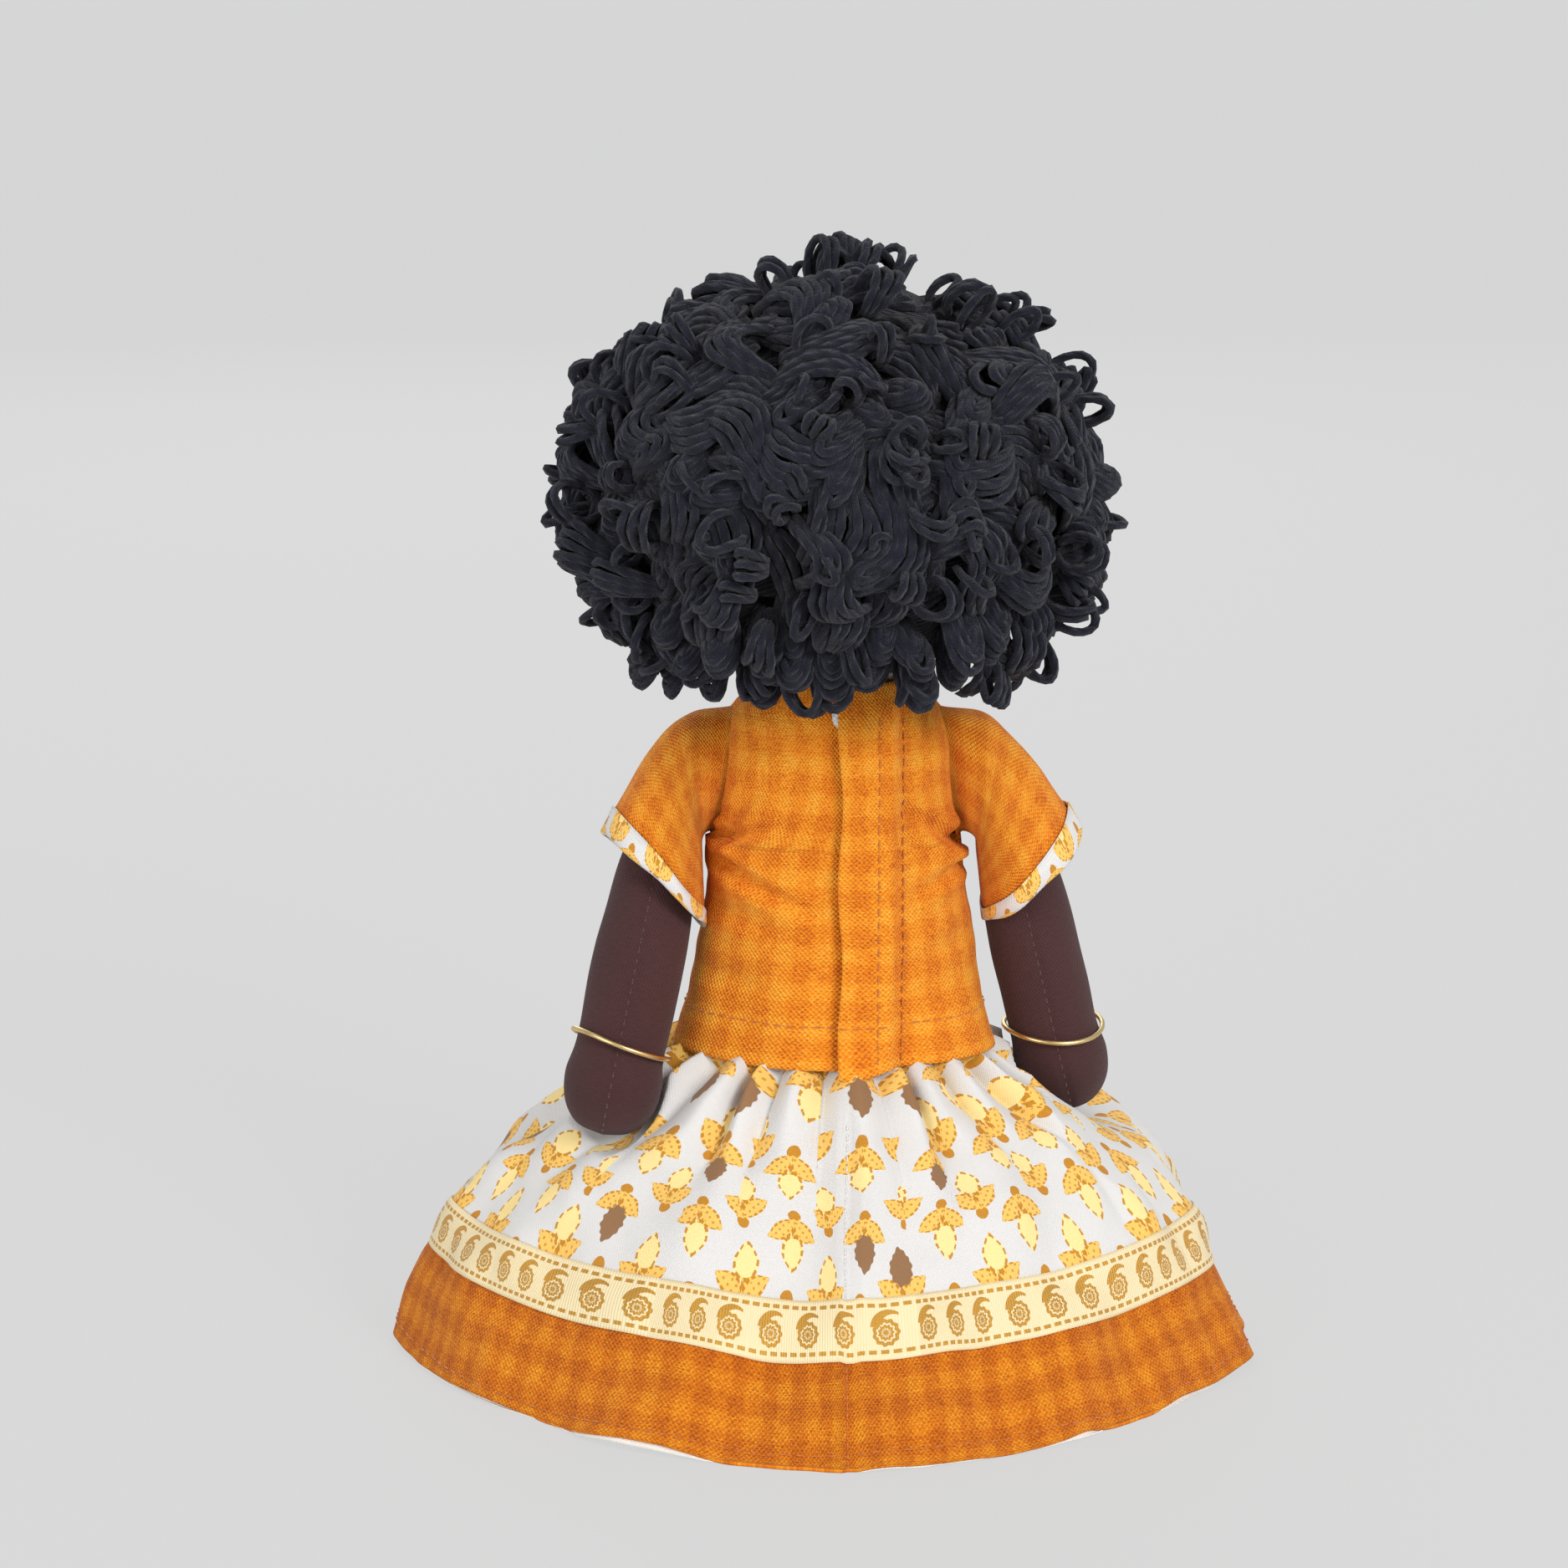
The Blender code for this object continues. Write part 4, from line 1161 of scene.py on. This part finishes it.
legShape = {
    "hip": (17.0, -40.0, 14.8),
    "rings": [(0, 0, -12.4, 0), (6, 6, -12.4, 0), (11, 11, -8.4, 0), (13.8, 13.8, 0, 0),
              (14.2, 14, 20, -0.2), (13.4, 13.4, 60, -0.8), (12.4, 12.6, 95, -1.6), (12, 13, 112, -1),
              (12.6, 18, 122, 4), (12.4, 20, 130, 6.4), (9, 15, 137, 7.6), (4.6, 7.6, 139.6, 8.0),
              (0, 0, 140, 8.0)],
}


def makeLeg(side, sign):
    hipX, hipY, hipZ = legShape["hip"]
    rings = legShape["rings"]

    def place(across, along):
        a, b, forward, rise = spline(rings, along * (len(rings) - 1))
        x, z = oval(max(a, 0.0), max(b, 0.0), 360 * across, 2.1)
        reach = max(math.hypot(x, z), 1e-6)
        seam = 0.5 * sum(math.exp(-((across - s) / 0.012) ** 2) for s in (0.25, 0.75))
        out = 1 + (wrinkle((x, forward, z), 18, 0.6, sign) - seam * min(1.0, reach / 6)) / max(reach, 5.0)
        return sign * hipX + x * out, hipY - forward, max(hipZ + rise + z * out, 0.15)

    name = side.capitalize()
    middle = Vector((sign * hipX, hipY - 60, hipZ)) * mm
    leg = gridPiece("leg" + name, place, cut(84, 160), 64, 84, skinMat, outFrom=middle)
    dress(leg, "leg_" + side, "brown_cloth", f"leg_{side}_skin", f"leg_{side}_stuffing")
    line = [Vector(place(0.25, k / 90)) for k in range(14, 86)]
    stitches = stitchRun("legSeam" + name, line, brownThread, 1.5, 1.0, 0.2)
    dress(stitches, "leg_" + side, "brown_cloth")


makeLeg("left", 1)
makeLeg("right", -1)
print("legs made")


blouseFolds = [  # from x and z to x and z on the back, half width and depth of each crease
    (27, 129, 13, 133, 1.5, 3.2), (27, 122, 6, 113, 1.6, 2.8), (26, 133, 19, 140, 1.5, 1.2),
    (-31, 126, -16, 137, 1.5, 3.2), (-31, 121, -19, 117, 1.6, 1.8), (28, 112, 14, 108, 2.2, 0.9),
    (-29, 104, -17, 100, 2.4, 0.6), (30, 96, 12, 93, 2.6, 0.7), (6, 124, 3, 104, 2.2, 0.5),
    (-20, 150, -14, 143, 2.0, 0.6), (18, 152, 9, 148, 2.2, 0.6),
]


def crease(x, z):
    total = 0.0
    for x0, z0, x1, z1, half, deep in blouseFolds:
        dx, dz = x1 - x0, z1 - z0
        t = ((x - x0) * dx + (z - z0) * dz) / (dx * dx + dz * dz)
        off = math.hypot(x - x0 - dx * min(max(t, 0), 1), z - z0 - dz * min(max(t, 0), 1))
        fade = 1 - 0.75 * min(max(t, 0), 1)
        valley = math.exp(-(off / half) ** 2)
        ridge = math.exp(-((off - 2.1 * half) / half) ** 2)
        total += deep * fade * (0.45 * ridge - valley)
    return total


def armholeEdge(z, side):
    hole = blouseShape["armhole"]
    off = (z - hole["z"]) / hole["halfHigh"]
    return hole[side] * math.sqrt(1 - off * off) if abs(off) < 1 else 0.0


def blousePoint(degrees, z, lift=0.0):
    a, b = blouseRing(z)
    x, y = oval(a + lift, b + lift, degrees)
    out = Vector((x / (a * a), y / (b * b), 0)).normalized()
    low = 1 - smoothStep(z, 78, 104)
    wave = 0.9 * low * math.sin(math.radians(degrees * 5 + 40)) + wrinkle((x, y, z), 16, 1.1, 4.0)
    if y > 0:
        wave += crease(x, z)
    calm = 1 - 0.85 * smoothStep(z, 152, 166)
    return Vector((x, y, z)) + out * wave * calm


def xDegrees(x, z):
    return math.degrees(math.acos(max(-0.98, min(0.98, x / blouseRing(z)[0]))))


def edgeDegrees(z, side):
    return math.degrees(math.asin(min(0.97, armholeEdge(z, side) / blouseRing(z)[1])))


def blouseHeight(along):
    low, high = blouseShape["rings"][0][0], blouseShape["rings"][-1][0]
    return low + (high - low) * along


def seamDip(z):
    # the cloth sinks into the armhole seam
    hole = blouseShape["armhole"]
    return 1.1 * (1 - smoothStep(abs(z - hole["z"]), hole["halfHigh"] - 2, hole["halfHigh"] + 3))


def makeBlouse():
    wall = blouseShape["wall"]

    def front(across, along):
        z = blouseHeight(along)
        start, stop = 180 + edgeDegrees(z, "right"), 360 - edgeDegrees(z, "left")
        return blousePoint(start + (stop - start) * across, z)

    def backLeft(across, along):
        z = blouseHeight(along)
        start, stop = edgeDegrees(z, "left"), xDegrees(blouseShape["underlapX"], z)
        return blousePoint(start + (stop - start) * across, z, -seamDip(z) * math.exp(-across / 0.022))

    def placketLift(x):
        return blouseShape["placketLift"] * (1 - smoothStep(-x, 11.5, 15.5))

    def backRight(across, along):
        z = blouseHeight(along)
        start = xDegrees(blouseShape["placketX"] + 0.5 * math.sin(z * 0.17), z)
        stop = 180 - edgeDegrees(z, "right")
        degrees = start + (stop - start) * across
        x = blouseRing(z)[0] * math.cos(math.radians(degrees))
        corner = (1 - smoothStep(z, 76, 85)) * (1 - smoothStep(-x, 5, 13))
        dip = seamDip(z) * math.exp((across - 1) / 0.03)
        point = blousePoint(degrees, z, placketLift(x) + corner * 0.9 - dip)
        point.z -= corner * 1.6
        return point

    mid = Vector((0, 0, 0.12))
    pieces = [
        ("blouseFront", front, 96, 72, (0.100, 0.094), 0.0080, "blouse_front"),
        ("blouseBackLeft", backLeft, 60, 84, (0.064, 0.094), 0.0052, "blouse_back_left"),
        ("blouseBackRight", backRight, 72, 84, (0.050, 0.094), 0.0041, "blouse_back_right"),
    ]
    for name, place, columns, rows, flat, area, node in pieces:
        chart = cut(flat[0] * 1000, flat[1] * 1000)
        panel = gridPiece(name, place, chart, columns, rows, checkMat, outFrom=mid)
        dress(thicken(panel, wall), "torso", "orange_check", node)

    def strip(lift):
        def place(across, along):
            z = 82 + 79 * along
            low, high = xDegrees(-3.0 + 4.2 * smoothStep(z, 153, 159), z), xDegrees(-12.5, z)
            return blousePoint(low + (high - low) * across, z, lift)
        return place

    strips = [("closureHooks", 0.75, "closure_hook_strip"), ("closureLoops", 1.6, "closure_loop_strip")]
    for name, lift, node in strips:
        tape = gridPiece(name, strip(lift), cut(10, 76), 10, 60, closureMat, outFrom=mid)
        dress(thicken(tape, 0.45), "torso", "closure_tape", node)

    def facing(across, along):
        z = 163.2 + 5.2 * along
        a, b = blouseRing(min(z, 167.0))
        x, y = oval(a - 1.1, b - 1.1, 360 * across)
        return x, y, z + 0.3 * math.sin(across * 44)

    collar = gridPiece("necklineFacing", facing, cut(104, 5.2), 80, 6, whiteMat, outFrom=(0, 0, 0.165))
    dress(thicken(collar, 0.5), "torso", "white_facing", "neckline_facing")
    # rows of machine stitches beside the placket and above the hem
    lift = blouseShape["placketLift"]
    for name, x, raised in (("placketStitchOuter", -15.4, 0.45), ("placketStitchInner", -9.0, lift)):
        line = [blousePoint(xDegrees(x, z), z, raised + 0.12) for z in range(79, 160)]
        dress(stitchRun(name, line, orangeThread, 2.3, 0.9, 0.24), "torso", "orange_check")
    for name, first, last in (("Left", 2, 112), ("Right", 92, 178), ("Front", 182, 358)):
        line = []
        for degrees in range(first, last):
            raised = placketLift(38 * math.cos(math.radians(degrees))) if name == "Right" else 0.0
            line.append(blousePoint(degrees, blouseShape["hemStitchAt"], raised + 0.14))
        dress(stitchRun("hemStitch" + name, line, orangeThread, 2.3, 0.9, 0.22), "torso", "orange_check")


makeBlouse()
print("blouse made")


skirtShape = {
    "rows": [  # left x and z, right x and z, back y and z, front y and z
        (32.3, 81, 32.3, 81, 24.3, 81, 24.3, 81),
        (35.2, 77, 34.6, 77, 25.6, 77.5, 25.8, 77.5),
        (46.0, 70, 42.0, 70.5, 33.0, 70, 34.0, 70.5),
        (60.5, 61, 54.5, 65.5, 42.0, 58.5, 48.0, 62.0),
        (72.0, 54.5, 65.5, 60, 48.0, 51.0, 63.0, 54.5),
        (81.5, 48, 76.0, 50, 54.5, 42.5, 76.0, 48.5),
        (91.5, 35.5, 86.0, 35.5, 62.0, 31.0, 86.0, 43.5),
        (98.0, 24.5, 91.5, 22.5, 72.0, 19.5, 98.0, 39.5),
        (102.5, 12, 97.0, 11, 82.0, 9.8, 108.0, 36.4),
        (106.3, 0.9, 102.3, 0.9, 91.5, 0.9, 117.0, 33.0)],
    "folds": 24,
    "columnsPerFold": 14,
    "strip": 660.0,
    # places count the rows above, down from the waist
    "tier": {"end": 6.55, "flatHeight": 78, "rows": 84},
    "hem": {"start": 6.45, "reach": 2.52, "peep": 0.13, "flatHeight": 30, "rows": 34, "stitchAt": 8.62},
    "tape": {"start": 6.0, "flatLength": 566, "rows": 16},
    "facing": {"start": 7.1, "reach": 1.9, "flat": (600, 24), "rows": 18},
    "seamAt": 92.6,
    "peeps": [(38, 14), (62, 7), (146, 5), (128, 3), (205, 10), (330, 12)],  # degrees round, half width
    "seed": 9,
}


def planFolds():
    dice = random.Random(skirtShape["seed"])
    widths = [dice.uniform(0.65, 1.4) for _ in range(skirtShape["folds"])]
    total, edge, folds = sum(widths), 0.0, []
    for width in widths:
        folds.append({
            "start": edge, "width": 360 * width / total, "high": dice.uniform(0.7, 1.25),
            "reach": dice.uniform(4.2, 7.6), "lean": dice.uniform(-0.7, 0.7),
        })
        edge += 360 * width / total
    return folds


skirtFolds = planFolds()


def foldAt(across):
    count = skirtShape["folds"]
    place = (across % 1.0) * count
    index = min(int(place + 1e-9), count - 1)
    return skirtFolds[index], min(max(place - index, 0.0), 1.0)


def foldDegrees(across):
    fold, share = foldAt(across)
    return fold["start"] + fold["width"] * share


def skirtBase(degrees, place):
    leftX, leftZ, rightX, rightZ, backY, backZ, frontY, frontZ = spline(skirtShape["rows"], place)
    c, s = math.cos(math.radians(degrees)), math.sin(math.radians(degrees))
    toLeft = 0.5 + 0.5 * c
    sideX, sideZ = rightX + (leftX - rightX) * toLeft, rightZ + (leftZ - rightZ) * toLeft
    lift = s * s
    if s >= 0:
        power = 2.0 - 0.3 * smoothStep(place, 2, 6)
        x, y = oval(sideX, backY, degrees, power)
        return Vector((x, y, sideZ * (1 - lift) + backZ * lift))
    x, y = oval(sideX, frontY, degrees, 2.1)
    lap = (1 - smoothStep(abs(x), 37, 60)) * smoothStep(lift, 0.0, 0.36)
    return Vector((x, y, sideZ * (1 - lap) + frontZ * lap))


def planHands():
    # balls down each forearm and hand, which the cloth goes round
    spots = []
    for side in ("left", "right"):
        for drop in range(44, 92, 2):
            wide = 10.6 + 1.2 * smoothStep(drop, 66, 78) - 6.0 * smoothStep(drop, 78, 92)
            spots.append((armFrame(side) @ Vector((0, 0, -min(drop, 90 - wide * 0.6))), wide + 0.7))
    return spots


handSpots = planHands()


def clearOfHands(point, out, slope=0.9):
    # the hands press the cloth in, and it rises again at a slope all round
    sink = 0.0
    for centre, radius in handSpots:
        away = point - centre
        high = away.dot(out)
        if abs(high) > 26 or away.length > 45:
            continue
        aside = (away - out * high).length
        if aside < radius * 0.8:
            need = high + math.sqrt(radius * radius - aside * aside)
        else:
            need = high + radius * 0.6 - (aside - radius * 0.8) * slope
        sink = max(sink, need)
    return point - out * min(sink, 24.0)


def skirtPoint(across, place, lift=0.0):
    fold, share = foldAt(across)
    degrees = foldDegrees(across)
    step = 0.6
    here = skirtBase(degrees, place)
    along = skirtBase(degrees + step, place) - skirtBase(degrees - step, place)
    down = skirtBase(degrees, min(place + 0.05, 9)) - skirtBase(degrees, max(place - 0.05, 0))
    out = along.cross(down).normalized()
    if out.dot(Vector((here.x, here.y, 12.0))) < 0:
        out.negate()
    along.normalize()
    s = 2 * share - 1
    ridge = 1 - abs(s) ** 1.5
    fade = 1 - smoothStep(place, 1.8, fold["reach"])
    grow = smoothStep(place, 0.5, 1.9)
    high = fold["high"] * (0.3 + 0.8 * (1 - grow) + 6.0 * grow * fade)
    turn = math.radians(degrees)
    broad = smoothStep(place, 2.5, 8.0)
    wave = 1.5 * math.sin(7 * turn + 0.7) + 1.1 * math.sin(11 * turn + 2.1)
    wave += 0.5 * math.sin(17 * turn + place)
    free = smoothStep(place, 1.5, 3.0)
    soft = (wrinkle(here, 17, 2.0, 6.0) + wrinkle(here, 8, 0.8, 2.0)) * free
    ripple = 1.6 * math.sin(turn * 13 + place * 0.9 + 1.0)
    soft += ripple * smoothStep(place, 2.0, 3.5) * (1 - smoothStep(place, 5.0, 7.5))
    seam = math.exp(-((degrees - skirtShape["seamAt"]) / 1.1) ** 2) * free
    height = high * (ridge - 0.4) + wave * broad + soft * 0.8 - 1.9 * seam
    point = here + out * height + along * (fold["lean"] * high * ridge * 0.8)
    point = clearOfHands(point, out)
    point += out * lift
    point.z = max(point.z, 0.98 + 0.4 * min(lift, 0.0))
    return point


def skirtChart(fromPlace, toPlace, pitch):
    # cloth keeps its own width over each fold, and the rest is hidden in the valleys
    count = skirtShape["folds"]

    def chart(across, along, middle):
        place = fromPlace + (toPlace - fromPlace) * along
        fold, _ = foldAt(middle)
        index = min(int(middle * count), count - 1)
        share = across * count - index - 0.5
        row = spline(skirtShape["rows"], place)
        girth = math.pi * (0.5 * (row[0] + row[2]) + 0.5 * (row[4] + row[6]))
        arc = girth * fold["width"] / 360
        full = skirtShape["strip"] * fold["width"] / 360
        centre = skirtShape["strip"] * (fold["start"] + fold["width"] / 2) / 360
        return centre + share * min(full, arc * 1.42), (1 - along) * pitch

    return chart


def makeSkirt():
    columns = skirtShape["folds"] * skirtShape["columnsPerFold"]
    mid = Vector((0, 0, 0.02))
    tierCut, hemCut = skirtShape["tier"], skirtShape["hem"]
    tapeCut, facingCut = skirtShape["tape"], skirtShape["facing"]

    def tierPlace(across, along):
        return skirtPoint(across, tierCut["end"] * along)

    chart = skirtChart(0.0, tierCut["end"], tierCut["flatHeight"])
    tier = gridPiece("skirtPrintTier", tierPlace, chart, columns, tierCut["rows"], printMat, outFrom=mid)
    dress(thicken(tier, 0.4), "torso", "white_print", "skirt_print_tier")

    def hemPlace(across, along):
        # the facing shows below the hem here and there
        degrees = foldDegrees(across)
        peep = sum(math.exp(-((degrees - middle) / half) ** 2) for middle, half in skirtShape["peeps"])
        reach = hemCut["reach"] - hemCut["peep"] * min(peep, 1.0)
        return skirtPoint(across, hemCut["start"] + reach * along)

    chart = skirtChart(hemCut["start"], 9.0, hemCut["flatHeight"])
    hem = gridPiece("skirtHemBand", hemPlace, chart, columns, hemCut["rows"], hemMat, outFrom=mid)
    dress(thicken(hem, 0.9), "torso", "orange_check", "skirt_hem_band")

    def lacePlace(across, along):
        return skirtPoint(across, tapeCut["start"] + along, lift=0.55 + 0.25 * math.sin(math.pi * along))

    chart = cut(tapeCut["flatLength"], laceLook["width"])
    lace = gridPiece("skirtLaceBorder", lacePlace, chart, columns, tapeCut["rows"], laceMat, outFrom=mid)
    dress(thicken(lace, 0.45), "torso", "lace_tape", "skirt_lace_border")

    def facingPlace(across, along):
        return skirtPoint(across, facingCut["start"] + facingCut["reach"] * along, lift=-1.1)

    chart = cut(*facingCut["flat"])
    facing = gridPiece("skirtFacing", facingPlace, chart, columns, facingCut["rows"], whiteMat, outFrom=mid)
    dress(thicken(facing, 0.35), "torso", "white_facing", "skirt_facing")

    # the seam up the back, and the stitches that hold the facing
    turns = [k / columns for k in range(columns + 1)]
    seamAcross = min(turns, key=lambda turn: abs(foldDegrees(turn) - skirtShape["seamAt"]))
    line = [skirtPoint(seamAcross, 2.5 + 6.4 * k / 70, lift=0.2) for k in range(71)]
    dress(stitchRun("skirtSeamUpper", line[:45], whiteThread, 2.0, 0.5, 0.2), "torso", "white_print")
    dress(stitchRun("skirtSeamLower", line[45:], orangeThread, 2.0, 0.4, 0.26), "torso", "orange_check")
    line = [skirtPoint(turn, hemCut["stitchAt"], lift=0.12) for turn in turns]
    dress(stitchRun("skirtHemStitch", line, orangeThread, 2.4, 1.2, 0.2), "torso", "orange_check")

    def ring(halfX, halfY, low, high, pleat):
        def place(across, along):
            push = pleat * math.sin(across * 2 * math.pi * 48)
            x, y = oval(halfX + push, halfY + push, 360 * across)
            return x, y, low + (high - low) * along
        return place

    waist = Vector((0, 0, 0.085))
    place = ring(32.2, 24.7, 81.0, 90.0, 0.25)
    band = gridPiece("skirtWaistband", place, cut(180, 9), 192, 8, printMat, outFrom=waist)
    dress(thicken(band, 0.8), "torso", "white_print", "skirt_waistband")
    place = ring(30.8, 23.3, 82.0, 88.5, 0.0)
    elastic = gridPiece("waistElastic", place, cut(172, 6.5), 96, 6, elasticMat, outFrom=waist)
    dress(thicken(elastic, 0.7), "torso", "white_elastic", "waist_elastic")


makeSkirt()
print("skirt made")
